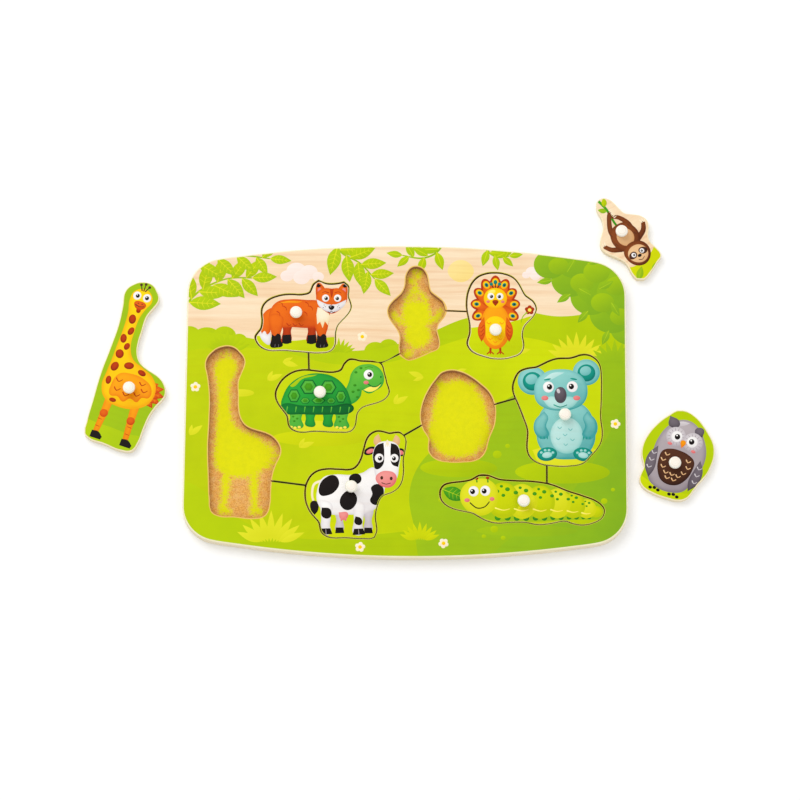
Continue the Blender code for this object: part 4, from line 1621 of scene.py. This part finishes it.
@dataclass
class SlothPiece(PuzzlePiece):
    """A sloth that hangs on a stem."""

    name: str = "sloth"
    seed: int = 7
    turn: float = radians(32.0)
    ground: Ink = Ink.BARE
    bare_rim: float = 0.3 * MM
    slid: Point = (0.0, 0.0)

    def draw(self) -> None:
        """Draws the sloth."""
        self.fill(Ink.PALE_LIME, (-16, -23.4), (-4, -25), (8, -23), (20, -19), (24, -40), (0, -44),
                  (-16, -40))
        self.line(Ink.SPOT_GREEN, 2, (-1.6, 30), (0.4, 20), (0, 8), (1.4, -4), end=1.4, edge=0.2)
        self.leaf(Ink.LIME, 0.2, 22, 7, 3.8, 62, Ink.LEAF)
        self.leaf(Ink.GRASS, -0.2, 18.4, 6.4, 3.6, 138, Ink.LEAF_LINE)
        for path, end in ((((-4.6, -6), (-5.8, 4), (-1.8, 13), (1, 16.6)), 2.8),
                          (((6.4, -6), (7.8, 3), (4.6, 10.4), (1, 13)), 2.8),
                          (((-6, -10), (-12, -7), (-15.2, -2.4)), 2.8),
                          (((8, -9), (14, -6), (17, -1.2)), 2.8)):
            self.line(Ink.BROWN, 4.2, *path, end=end, edge=0.45)
        for x, y in ((-15.6, -1.6), (17.4, -0.4)):
            for d in (-1.1, 0.1, 1.3):
                self.line(Ink.CREAM, 0.8, (x + d, y - 0.4), (x + d * 1.5, y + 2), end=0.4)
        for x, y in ((1, 16.6), (1.2, 13)):
            for d in (-1, 0.3, 1.6):
                self.line(Ink.CREAM, 0.7, (x + 0.4, y + d), (x + 2.6, y + d + 0.4), end=0.4)
        self.blob(Ink.BROWN, (-8.4, -8), (-8.8, -1), (-5.6, 4.8), (0.6, 6.8), (7, 5), (10.2, -1), (10, -8),
                  (6.4, -13), (0.8, -14.4), (-5, -13))
        self.oval(Ink.TAN, 0.9, -3.8, 5.9, 6.6)
        for x, y in ((-6.8, 1.6), (7.6, 2), (-7, -5.6), (8.4, -5)):
            self.line(Ink.DARK_BROWN, 0.6, (x - 0.6, y + 1.2), (x + 0.2, y - 1.2), end=0.2)
        self.draw_head()
        self.leaf(Ink.GRASS, -8.4, -34.8, 10.5, 4.8, 44, Ink.LEAF_LINE)
        self.leaf(Ink.GRASS, 3, -34.8, 9.6, 4.2, 28, Ink.LEAF_LINE)

    def draw_head(self) -> None:
        """Draws the head with its masked eyes."""
        self.blob(Ink.BROWN, (-7, -18), (-6, -12.6), (-1.6, -9.6), (3.4, -9.2), (8.6, -11.8), (10.8, -16.6),
                  (9.8, -22.2), (5.6, -26.4), (0.6, -27.2), (-4.4, -24.4))
        self.blob(Ink.TAN, (-5, -17.4), (-2.6, -13.4), (2.2, -12), (6.8, -13.8), (8.8, -18), (7.4, -22.8),
                  (2.6, -25.2), (-2.4, -23.2), shade=(0, 0.4), edge=0.3)
        self.fill(Ink.DARK_BROWN, (-5, -18.8), (-3, -15.8), (0.7, -16.2), (0.6, -19.4), (-2.2, -20.4))
        self.fill(Ink.DARK_BROWN, (9, -19.2), (7.2, -16), (3.5, -16.2), (3.6, -19.4), (6.2, -20.8))
        self.eye(-1.3, -17.9, 1.6, 0.2)
        self.eye(5.3, -18, 1.6, -0.2)
        self.oval(Ink.BLACK, 2.1, -20.2, 1.5, 1.1, edge=0)
        self.line(Ink.DARK_BROWN, 0.6, (0, -22.4), (2.2, -23.5), (4.6, -22.4), end=0.4)


@dataclass
class OwlPiece(PuzzlePiece):
    """A round owl that looks ahead."""

    name: str = "owl"
    seed: int = 8
    unit: float = 0.955 * MM
    turn: float = radians(-20.5)
    ground: Ink = Ink.FIELD
    bare_rim: float = 0.3 * MM
    slid: Point = (0.0, 0.0)

    def draw(self) -> None:
        """Draws the owl."""
        self.fill(Ink.LIME, (-26, -17), (-8, -19), (12, -18), (28, -15), (28, -32), (0, -34), (-28, -32))
        for x in (-7.6, 6.6):
            for d in (-2.9, 0, 2.9):
                self.oval(Ink.BLACK, x + d, -21 - 0.3 * abs(d), 1.35, 1.15, edge=0)
        self.blob(Ink.GREY, (-17.6, 3), (-17.4, 14), (-14, 24.6), (-8.4, 31.4), (-1, 33.8), (6.6, 31.4),
                  (13.6, 24.2), (18.6, 14), (19, 3), (16.2, -8), (12, -16.8), (4, -20.4), (-6, -20.4),
                  (-13.6, -16.6), (-16.2, -8), edge=0.6, soft=3.6)
        self.fill(Ink.PALE_GREY, (-12, 26.4), (-6, 31.4), (0, 32.4), (-2, 30), (-8, 27))
        for side, x in ((-1, -16.6), (1, 17.4)):
            self.blob(Ink.DARK_GREY, (x - side * 1.2, 9), (x + side * 3.2, 1.4), (x + side * 2.8, -8),
                      (x - side * 2.2, -15.4), (x - side * 4.2, -8), (x - side * 3, 1))
            for y in (3, -2.4, -7.8):
                self.line(Ink.PALE_GREY, 0.8, (x - 1.7, y + 0.9), (x, y - 0.7), (x + 1.8, y + 0.9), end=0.5)
        self.blob(Ink.DARK_BROWN, (-12, 0), (-11.2, 6.8), (-5.6, 10.2), (0.6, 10.8), (6.8, 10), (12.4, 6.6),
                  (13.2, 0), (11, -8.4), (5.4, -14.4), (-4.4, -14.6), (-9.8, -8.4), shade=(-0.2, 0.6),
                  edge=0.5)
        for y, xs in ((-4.4, (-7.2, 8)), (-7.8, (-4, 0.6, 5.2)), (-11.2, (-1.8, 3)), (5, (-7.4, 8.4)),
                      (0.4, (-8.8, 9.8))):
            for x in xs:
                self.line(Ink.TAN, 0.9, (x - 1.7, y + 1), (x, y - 0.6), (x + 1.7, y + 1), end=0.6)
        self.draw_face()

    def draw_face(self) -> None:
        """Draws the ear tufts, the eyes and the beak."""
        self.blob(Ink.DARK_GREY, (-13, 25.4), (-15, 32.6), (-7.6, 31.2), (-6.4, 27.4))
        self.blob(Ink.DARK_GREY, (11.8, 25.4), (10.8, 31.4), (6, 30.8), (5.4, 27.4))
        for x, y, size in ((-5.9, 19.6, 7), (6.8, 19.6, 7)):
            self.oval(Ink.PALE_GREY, x, y, size, size * 1.02)
            for k in range(14):
                angle = k * tau / 14 + 0.2
                self.line(Ink.GREY, 0.5, (x + 4.4 * cos(angle), y + 4.5 * sin(angle)),
                          (x + 6.4 * cos(angle), y + 6.5 * sin(angle)), end=0.3)
        self.eye(-5.4, 19.8, 3.9, 0.5)
        self.eye(6.2, 19.8, 3.9, -0.4)
        self.blob(Ink.AMBER, (-1.5, 17.8), (0.4, 19), (2.3, 17.8), (0.5, 12.8))
        for x in (-8.4, 9.2):
            self.oval(Ink.PINK, x, 13.4, 1.7, 1.1)


@dataclass
class CowPiece(PuzzlePiece):
    """A spotted cow that looks ahead."""

    name: str = "cow"
    seed: int = 9

    def draw(self) -> None:
        """Draws the cow."""
        self.fill(Ink.PALE_LIME, (-27, -27.5), (-3, -24.5), (17, -25.5), (23, -29.5), (17, -37.5),
                  (-5, -38.5), (-25, -35.5))
        self.draw_body()
        self.draw_head()

    def draw_body(self) -> None:
        """Draws the tail, the legs, the body and their patches."""
        self.line(Ink.CREAM, 1.7, (-20, 5), (-25.2, 2.4), (-26.4, -5), (-24.8, -10.6), end=1.3, edge=0.45)
        self.fill(Ink.BLACK, (-26.8, -9.6), (-23.2, -9.4), (-22.2, -15.6), (-24.6, -18.8), (-27.2, -15))
        for x in (-10.4, 8.8):
            self.blob(Ink.PALE_GREY, (x, -13.5), (x + 5.4, -13.5), (x + 5, -22.5), (x + 5.2, -29.5),
                      (x + 0.4, -29.5), (x + 0.6, -22.5))
            self.fill(Ink.BLACK, (x + 0.3, -27.4), (x + 5.2, -27.4), (x + 6, -31.2), (x - 0.1, -31.4),
                      corner=50)
        self.blob(Ink.WHITE, (-22.6, 0.5), (-19, 7.3), (-11, 9.4), (-1, 9.2), (7, 10.6), (15, 14.5),
                  (21.4, 8.5), (22, -3.5), (17.8, -12.6), (11, -17.4), (-3, -18.4), (-15, -17.8),
                  (-22.2, -11.5), shade=(0, 0.5))
        for x in (-20.6, 1.4):
            self.blob(Ink.WHITE, (x - 0.6, -8), (x + 7.4, -11), (x + 7, -20), (x + 6.4, -26),
                      (x + 7.2, -31.2), (x + 0.8, -32), (x + 0.6, -22))
            self.fill(Ink.BLACK, (x + 0.8, -28.2), (x + 6.8, -28), (x + 8.2, -32), (x - 0.2, -32.6),
                      corner=50)
            self.line(Ink.GREY, 0.5, (x + 4, -32), (x + 3.8, -28.8), end=0.3)
        patches = (((-21.6, 1.2), (-18, 6.8), (-11.4, 8.8), (-8.2, 3.5), (-11.4, -2.8), (-16, -5.2),
                    (-20.8, -5)),
                   ((-6.6, -5.6), (-1.4, -1.7), (3.4, -5), (2.6, -12.2), (-2.8, -15.4), (-7.4, -11.4)),
                   ((-0.8, 8.7), (5.2, 9.6), (6.6, 5.1), (3, 2.7), (-1.2, 4.4)),
                   ((13.4, 0.8), (19.6, 2.6), (21.8, -4.6), (17.4, -11.6), (12.8, -9.2), (14.2, -3.8)),
                   ((-19.8, -13.6), (-14, -14.8), (-14.4, -20.8), (-19.4, -20)),
                   ((3, -19.6), (6.8, -21), (7, -25.2), (2.6, -24.4)))
        for points in patches:
            self.fill(Ink.BLACK, *points)
        self.blob(Ink.PINK, (-8.4, -16.9), (-2.2, -17.3), (-3.2, -21.5), (-6.8, -21.7))
        for x in (-6.4, -3.6):
            self.oval(Ink.PINK, x, -21.7, 0.7, 1.3)

    def draw_head(self) -> None:
        """Draws the head."""
        for x, y, tilt, size in ((12.4, 26.1, 24, 4.6), (33.2, 25.3, -30, 3.2)):
            self.oval(Ink.BLACK, x, y, size, 2.7, tilt, edge=0)
            self.oval(Ink.PINK, x, y - 0.2, size * 0.6, 1.5, tilt)
        self.blob(Ink.TAN, (15.8, 30.1), (15.2, 35.3), (18, 38), (19.2, 34.6), (20, 31.1))
        self.blob(Ink.TAN, (31.4, 30.1), (32.2, 35), (29.6, 37.6), (28.2, 34.6), (27.4, 31.1))
        self.blob(Ink.WHITE, (14.2, 24.5), (17.4, 31.1), (23.8, 33), (30.2, 31.1), (32.8, 24.5), (32, 15.5),
                  (30.6, 7.1), (26.2, 1.5), (20.6, 2.7), (16.4, 8.1), (15, 16.5), shade=(0, 0.4))
        self.fill(Ink.BLACK, (14.4, 23.5), (17, 30.1), (21.4, 31.8), (22, 23.5), (20.8, 15.7), (16.4, 13.3),
                  (15, 17.5))
        self.fill(Ink.BLACK, (32.6, 23.5), (30.4, 30.1), (26.4, 31.6), (26.2, 23.5), (27.4, 16.7),
                  (31.4, 14.9))
        for x in (22.6, 24, 25.4):
            self.line(Ink.CREAM, 1.1, (24, 33.4), (x, 29), end=0.3, edge=0.45)
        self.blob(Ink.PINK, (16.2, 7.1), (19.4, 11.3), (24.4, 12.2), (29.4, 10.3), (30.4, 6), (26.6, 0.9),
                  (20.8, 1.3))
        self.oval(Ink.DARK_BROWN, 20.4, 7.3, 1, 1.3, edge=0)
        self.oval(Ink.DARK_BROWN, 26.8, 6.9, 1, 1.3, edge=0)
        self.line(Ink.DARK_BROWN, 0.6, (20.4, 3.9), (23.4, 2.9), (26.4, 3.7), end=0.5)
        self.eye(18.6, 21.1, 3, 0.5, -0.2)
        self.eye(28.8, 21.1, 2.8, -0.2, -0.2)


@dataclass
class Board(Printed):
    """The board: printed panel on its backing. Its picture is a landscape, drawn from its middle."""

    edge_tone: float = 0.0
    panel_edge: float = 1.0 * MM
    backing_edge: float = 1.0 * MM
    rim: float = 0.35 * MM
    # Width of the band of painted highlight beside the rim of an empty cut-out.
    worn: float = 0.45 * MM
    wood_line: float = 50 * MM
    bare_reach: float = 1.2 * MM
    slit_width: float = 1.9 * MM
    print_reach: float = 1.5 * MM
    step: float = 0.8 * MM
    straight: float = 40 * MM
    missing: tuple[tuple[PuzzlePiece, Point], ...] = ()
    seated: tuple[PuzzlePiece, ...] = ()

    def draw(self) -> None:
        """Draws the sky, the land, the plants and the pale borders of the empty cut-outs, bare wood
        brightened and widened as a painted highlight of their lit edges.
        """
        self.blob(Ink.SUN, (28, 92), (31, 97.6), (37, 100), (43, 97.6), (46, 92), (43, 86.4), (37, 84),
                  (31, 86.4))
        for x, y, k in ((-72, 90, 1), (88, 91, 0.62)):
            puffs = ((-10, -2.4, 4), (-3.6, 1.2, 6), (5, 0.4, 5.2), (11.4, -2.8, 3.4), (0, -3.4, 5))
            for dx, dy, r in puffs:
                self.oval(Ink.CLOUD, x + dx * k, y + dy * k, r * k * 1.15, r * k)
        self.draw_hills()
        self.draw_plants()
        self.draw_crown()
        self.draw_branches()
        # Round each empty cut-out: a pale band of bare wood, widened and brightened as a painted highlight
        # of its lit edge.
        for piece, home in self.missing:
            edge = [p / MM for p in piece.recess(np.array(home) * MM)]
            self.patch(Ink.WORN, *[p[:] for p in grown(edge, self.rim / MM + self.worn / MM)])

    def draw_hills(self) -> None:
        """Draws the hills, the shrubs on them and the paler ground under the animals."""
        for x, y, r in ((-136, 41, 10.5), (-124, 44, 8), (-148, 44, 8), (-114, 41, 5.6), (-12, 37, 6.6),
                        (-21, 34, 7.6), (-3, 34, 6)):
            self.oval(Ink.FIELD, x, y, r, r * 0.9, shade=(0, 0.7))
        self.blob(Ink.FIELD, (-160, 46), (-128, 46), (-96, 41), (-60, 35), (-20, 36), (10, 45), (40, 58),
                  (74, 64), (104, 60), (130, 63), (160, 68), (170, -120), (0, -140), (-170, -120),
                  shade=(0, 0.5))
        self.blob(Ink.LIME, (-160, 26), (-120, 36), (-84, 33), (-50, 25), (-14, 26), (22, 38), (50, 46),
                  (86, 44), (120, 34), (160, 26), (170, -120), (0, -140), (-170, -120), shade=(0, 0.62),
                  toward=(-0.85, -0.5))
        self.blob(Ink.FIELD, (-160, -54), (-140, -62), (-112, -84), (-84, -95), (-50, -98), (-20, -94),
                  (24, -98), (30, -130), (-170, -130), shade=(0, 0.6))
        self.blob(Ink.GRASS, (160, 38), (138, 33), (112, 24), (84, 10), (58, -6), (32, -26), (12, -42),
                  (3, -64), (6, -88), (16, -120), (170, -130), shade=(0.1, 0.9), toward=(0.9, -0.4))
        self.blob(Ink.LEAF, (160, 6), (146, -8), (134, -30), (118, -56), (92, -86), (70, -97), (48, -120),
                  (170, -130), shade=(0, 0.8), toward=(0.9, -0.4))
        grounds = ((Ink.FIELD, 36, -47.6, 26, 6.5), (Ink.FIELD, 106, -50, 32, 8),
                   (Ink.GRASS, 82, -91, 34, 4), (Ink.PALE_LIME, -58, -27.5, 32, 5.6),
                   (Ink.YELLOW_GREEN, -112, 4, 9, 2.6))
        for ink, x, y, rx, ry in grounds:
            self.oval(ink, x, y, rx, ry, shade=(0, 0.8))

    def draw_plants(self) -> None:
        """Draws tufts, small fallen leaves, dew drops and flowers."""
        tufts = ((-90, -100, 22, Ink.YELLOW_GREEN), (116, 30, 19, Ink.YELLOW_GREEN),
                 (142, 27, 17, Ink.GRASS), (10, -98, 13, Ink.PALE_LIME), (-46, 33, 11, Ink.FIELD),
                 (-122, 34, 15, Ink.FIELD))
        for x, y, size, ink in tufts:
            self.blade_tuft(ink, x, y, size, 9)
        for x, y, angle in ((-94, 13, 24), (-84, 26, -14), (-8, -3, 30), (12, 16, 160), (-72, -34, 20),
                            (34, 20, -24), (-146, -26, 40), (74, 34, 12)):
            for turn, size in ((0, 11), (40, 7.6)):
                self.leaf(Ink.YELLOW_GREEN, x, y, size, size * 0.36, angle + turn)
        for x, y, r in ((62, -38, 3), (69, -32, 1.6), (55, -34, 1.2), (60, -90, 2.6), (53, -95, 1.5),
                        (66, -96, 1.6), (134, -70, 2.2), (140, -62, 1.4), (44, -66, 1.2), (24, -70, 1.8)):
            self.oval(Ink.FIELD, x, y, r, r * 0.9)
        for x, y in ((-143, 8), (-30, 44.5), (142, -16), (26, -100), (-30, -103)):
            for k in range(5):
                angle = k * tau / 5 + x
                self.oval(Ink.CREAM, x + 2 * cos(angle), y + 2 * sin(angle), 1.5, 1.5)
            self.oval(Ink.YELLOW, x, y, 1.3, 1.3)

    def draw_crown(self) -> None:
        """Draws the tree's crown that reaches in from the top right corner."""
        for x, y, r in ((152, 52, 13), (140, 62, 15), (126, 74, 14), (112, 86, 13), (98, 97, 11),
                        (136, 86, 22), (150, 76, 20), (116, 102, 16)):
            self.oval(Ink.LEAF, x, y, r, r * 0.92, shade=(0, 0.7))
        for x, y, r in ((104, 96, 7), (120, 84, 8), (134, 70, 8), (146, 60, 7), (130, 92, 9), (144, 82, 8)):
            self.oval(Ink.GRASS, x, y, r, r * 0.86, shade=(0, 1))
        for x, y, angle in ((112, 76, 214), (100, 86, 190), (124, 64, 230), (138, 50, 246), (110, 92, 60),
                            (124, 98, 20), (132, 80, 30), (140, 70, 300), (118, 80, 330)):
            self.leaf(Ink.LEAF, x, y, 11, 4.8, angle, Ink.LEAF_LINE)

    def draw_branches(self) -> None:
        """Draws the leafy branches that hang in from the top."""
        branches = ((((-154, 62), (-142, 76), (-124, 85), (-106, 86)), 23, 5),
                    (((-152, 92), (-134, 99), (-114, 102), (-94, 100)), 20, 4),
                    (((-52, 114), (-44, 104), (-32, 97), (-22, 86)), 22, 4),
                    (((26, 114), (20, 105), (10, 101), (-3, 103)), 15, 3),
                    (((52, 112), (57, 105), (63, 102), (70, 103)), 13, 3))
        for points, size, count in branches:
            self.line(Ink.GRASS, 1.7, *points, end=0.9)
            for i in range(count * 2):
                t = (i // 2 + 0.8 + 0.3 * (i % 2)) / (count + 0.5)
                k = min(int(t * 3), 2)
                a, b = Vector(points[k]), Vector(points[k + 1])
                place = a + (b - a) * (t * 3 - k)
                along = degrees(atan2(b.y - a.y, b.x - a.x))
                length = size * (1 - 0.30 * t)
                self.leaf(Ink.FIELD if i % 2 else Ink.FERN, place.x, place.y, length, length * 0.46,
                          along + (52 if i % 2 else -52), Ink.YELLOW_GREEN)
            along = degrees(atan2(points[-1][1] - points[-2][1], points[-1][0] - points[-2][0]))
            self.leaf(Ink.FERN, *points[-1], size * 0.75, size * 0.33, along, Ink.YELLOW_GREEN)

    def borders(self, node: str, height: float, low: Vector, high: Vector) -> list[Loop]:
        """Reads the borders of a layer from its solid.

        Args:
            node: The layer.
            height: The height of the face whose borders are read.
            low: Lowest corner of the layer's box.
            high: Its highest corner.

        Returns:
            The outer border, then the borders of the cut-outs.
        """
        outer, *holes = (clockwise(loop) for loop in boundary_loops(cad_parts[node].data, height, 60.0))
        border = held(smooth_loop(outer, self.step * 3, self.straight), low, high)
        return [border, *(smooth_loop(hole, self.step) for hole in holes)]

    def build_panel(self) -> bpy.types.Object:
        """Builds the panel with its cut-outs and slits.

        Returns:
            The panel.
        """
        low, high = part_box("frame_panel")
        thick = high.z - low.z
        outer, *holes = self.borders("frame_panel", low.z, low, high)
        book = MeshBook("frame_panel_printed")
        side = PlySideFinish("Plies at the border", low.z, high.z, scorch_and_shade=0.04)
        sawn = PlySideFinish("Sawn plies of a cut-out", low.z, high.z, scorch_and_shade=0.9, char_and_shade="A05E26")
        # Walls seen only through the narrow cut round a seated piece: saw browning deepened as painted
        # shade.
        filled = PlySideFinish("Sawn plies of a filled cut-out", low.z, high.z, scorch_and_shade=1.0, char_and_shade="7C5526")
        border = SandedEdgeFinish("Sanded border", tone="F6F0D0", tinted=0.08)
        rim = SandedEdgeFinish("Sanded rim of a cut-out", tone="D8CE5C", tint="C2C81E", tinted=0.5)
        # Rim of an empty cut-out: bare sanded wood, made paler and more orange as a painted highlight of its
        # lit edge.
        worn = SandedEdgeFinish("Worn rim of an empty cut-out", tone="EEC878", tint="E2B05C", tinted=0.4)
        # Slit rims below the sky and slit walls: ink and saw browning, darkened as painted shade of the
        # narrow gap.
        ink_and_shade = SandedEdgeFinish("Inked rim of a slit", tone="9A9A2C", tint="8E9020", tinted=0.5)
        slit = PlySideFinish("Scorched saw slit", low.z, high.z, scorch_and_shade=1.0, char_and_shade="57531F")
        empty = [rows(piece.recess(np.array(home) * MM)) for piece, home in self.missing]
        levels = [(0.0, 0.0), (0.0, thick - self.panel_edge), (-0.30 * MM, thick - 0.30 * MM),
                  (-self.panel_edge, thick)]
        rings = [book.ring(grown(outer, inset), low.z + height) for inset, height in levels]
        for i, finish in enumerate((side, border, border)):
            book.wall(rings[i], rings[i + 1], finish)
        cuts = [(0.0, 0.0), (0.0, thick - self.rim), (0.11 * MM, thick - 0.11 * MM), (self.rim, thick)]
        for hole in holes:
            rings = [book.ring(grown(hole, out), low.z + height) for out, height in cuts]
            places = rows(hole)
            bare = np.min([reach_to(places, loop) for loop in empty], axis=0) < self.bare_reach
            narrow = tight_places(places, self.slit_width)
            # Above the wood line a slit rim takes the pale finish with painted highlight; below it, ink with
            # painted shade.
            brink = [worn if y > self.wood_line else ink_and_shade for y in places[:, 1]]
            walls = [sawn if b else slit if n else filled for b, n in zip(bare, narrow)]
            lower = [worn if b else slit if n else rim for b, n in zip(bare, narrow)]
            upper = [worn if b else k if n else rim for b, n, k in zip(bare, narrow, brink)]
            for i, finishes in enumerate((walls, lower, upper)):
                book.wall(rings[i], rings[i + 1], finishes, flip=True)
        inner = [grown(hole, self.rim) for hole in holes]
        book.sheet(grown(outer, -self.panel_edge), inner, high.z, self.picture(), Ink.BARE)
        book.sheet(outer, holes, low.z, [], Ink.BARE, up=False)
        made = book.make()
        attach(made, "board")
        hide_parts("frame_panel")
        return made

    def ghost_tone(self, points: Array, prints: list[tuple[Array, PuzzlePiece, Array]]) -> Array:
        """Works out how strongly the soft print of the pictures shows at each place of the backing.

        Args:
            points: The places.
            prints: The home of each piece, the piece, and the outline of its cut-out.

        Returns:
            From 0 for bare board to 1 for full print.
        """
        least_mark, far_off, fade_start, fade = 3.0, -9.0, 3.4, 6.6
        tone = np.zeros(len(points))
        for home, piece, loop in prints:
            near = inside(points, loop) | (reach_to(points, loop) < self.print_reach)
            own = (points[near] - home) / MM
            best = np.full(len(own), far_off)
            for mark in piece.picture()[piece.ground_marks:]:
                border = np.array(mark.outline)
                if np.ptp(border, axis=0).max() > least_mark:
                    side = np.where(inside(own, border), 1, -1)
                    best = np.maximum(best, reach_to(own, border) * side)
            tone[near] = np.maximum(tone[near], np.clip((best + fade_start) / fade, 0, 1))
        return tone

    def build_backing(self) -> bpy.types.Object:
        """Builds the backing, with a fine top where it shows in the cut-outs.

        Returns:
            The backing.
        """
        low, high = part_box("backing_board")
        outer = self.borders("backing_board", high.z, low, high)[0]
        homes = [(piece, np.array(home) * MM, 1.1 * MM) for piece, home in self.missing]
        homes += [(piece, np.array(piece.outline()[1].xy), 1.6 * MM) for piece in self.seated]
        margin, weld = 2 * MM, 1e-7
        prints, extra = [], []
        for piece, home, spacing in homes:
            loop = rows(piece.recess(home))
            prints.append((home, piece, loop))
            grid = staggered(loop.min(0) - margin, loop.max(0) + margin, spacing)
            near = inside(grid, loop) | (reach_to(grid, loop) < self.print_reach)
            extra += [Vector(p) for p in grid[near]]
        border = len(outer)
        edges = [(i, (i + 1) % border) for i in range(border)]
        flat, _, faces, _, _, _ = delaunay_2d_cdt([*outer, *extra], edges, [], 1, weld)
        points = rows(flat)
        tone = self.ghost_tone(points, prints)
        book = MeshBook("backing_board_pressed")
        finish = FibreboardFinish("Pressed backing")
        book.points += [(x, y, high.z) for x, y in points]
        for face in faces:
            a, b, c = (Vector(points[n]) for n in face[:3])
            numbers = face[::-1] if (b - a).cross(c - a) < 0 else face
            book.face(numbers, finish, [float(tone[n]) for n in numbers])
        rings = [book.ring(grown(outer, -self.backing_edge), low.z),
                 book.ring(grown(outer, -0.3 * MM), low.z + 0.3 * MM),
                 book.ring(outer, low.z + self.backing_edge), book.ring(outer, high.z)]
        plain = BackingEdgeFinish("Trimmed edge of the backing")
        for i in range(3):
            book.wall(rings[i], rings[i + 1], plain)
        book.face(rings[0], plain)
        made = book.make()
        made.data.attributes["shade"].name = "ghost"
        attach(made, "board")
        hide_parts("backing_board")
        return made


# Studio


@dataclass
class Studio:
    """Plain pale floor, soft light and the camera."""

    azimuth: float = 0.43
    elevation: float = 74.0
    distance: float = 2.523
    aim: tuple[float, float, float] = (-0.00396, -0.00023, 0.0088)
    lens: float = 167.36
    floor_size: float = 6.0
    floor_drop: float = 0.02 * MM
    world_light: float = 0.70

    def add_camera(self) -> None:
        """Adds the camera and makes it the scene's own."""
        a, e = radians(self.azimuth), radians(self.elevation)
        back = Vector((sin(a) * cos(e), -cos(a) * cos(e), sin(e)))
        data = bpy.data.cameras.new("Camera")
        data.lens = self.lens
        data.sensor_width = 36.0
        data.clip_start, data.clip_end = 0.05, 20.0
        camera = linked("Camera", data)
        camera.location = Vector(self.aim) + back * self.distance
        camera.rotation_mode = "QUATERNION"
        camera.rotation_quaternion = (-back).to_track_quat("-Z", "Y")
        bpy.context.scene.camera = camera

    def add_light(self, name: str, place: tuple[float, float, float], size: float, power: float) -> None:
        """Adds a soft square lamp that looks at the puzzle.

        Args:
            name: Its name.
            place: Its place.
            size: Its side.
            power: Its power in watts.
        """
        data = bpy.data.lights.new(name, "AREA")
        data.shape = "SQUARE"
        data.size = size
        data.energy = power
        lamp = linked(name, data)
        lamp.location = place
        lamp.rotation_mode = "QUATERNION"
        lamp.rotation_quaternion = (-Vector(place)).to_track_quat("-Z", "Y")

    def add_floor(self) -> None:
        """Adds the floor, white and matte with a trace of unevenness."""
        mesh = bpy.data.meshes.new("studio_floor")
        half = self.floor_size / 2
        mesh.from_pydata([(-half, -half, 0), (half, -half, 0), (half, half, 0), (-half, half, 0)], [],
                         [(0, 1, 2, 3)])
        floor = linked("studio_floor", mesh)
        floor.location.z = -self.floor_drop
        mesh.materials.append(PaperFinish("White paper").material())

    def add_world(self) -> None:
        """Lights the scene evenly, and shows white where nothing stands."""
        world = bpy.data.worlds.new("Studio")
        world.use_nodes = True
        bpy.context.scene.world = world
        world.node_tree.nodes.clear()
        w = NodeWriter(world.node_tree)
        ray = w.node("LightPath").outputs
        mirrored = w.math("MAXIMUM", ray["Is Camera Ray"], ray["Is Glossy Ray"])
        seen = w.math("MAXIMUM", mirrored, ray["Is Transmission Ray"])
        strength = w.spread(seen, 0.0, 1.0, self.world_light, 1.0)
        sky = w.node("Background", {"Color": WHITE, "Strength": strength})
        w.node("OutputWorld", {"Surface": sky.outputs[0]})

    def build(self) -> None:
        """Sets up the studio."""
        self.add_camera()
        self.add_floor()
        self.add_world()
        self.add_light("Key", (-1.1, 1.3, 2.2), 2.0, 32.0)
        self.add_light("Fill", (1.4, -1.2, 2.4), 2.2, 12.0)
        bpy.context.scene.view_settings.view_transform = "Standard"


def main() -> None:
    """Builds the puzzle and the studio, and reports each piece."""
    logging.basicConfig(level=logging.INFO, format="%(name)s: %(message)s")
    ostrich, sloth, owl = OstrichPiece(), SlothPiece(), OwlPiece()
    seated = (FoxPiece(), TortoisePiece(), PeacockPiece(), KoalaPiece(), InchwormPiece(), CowPiece())
    board = Board(missing=((ostrich, (-110.0, -40.0)), (sloth, (6.0, 65.5)), (owl, (36.0, -18.0))),
                  seated=seated)
    made = [board.build_backing(), board.build_panel()]
    for piece in (ostrich, sloth, owl, *seated):
        made += piece.build()
    for thing in made:
        LOG.info("%s: %d points", thing.name, len(thing.data.vertices))
    Studio().build()


if __name__ == "__main__":
    main()
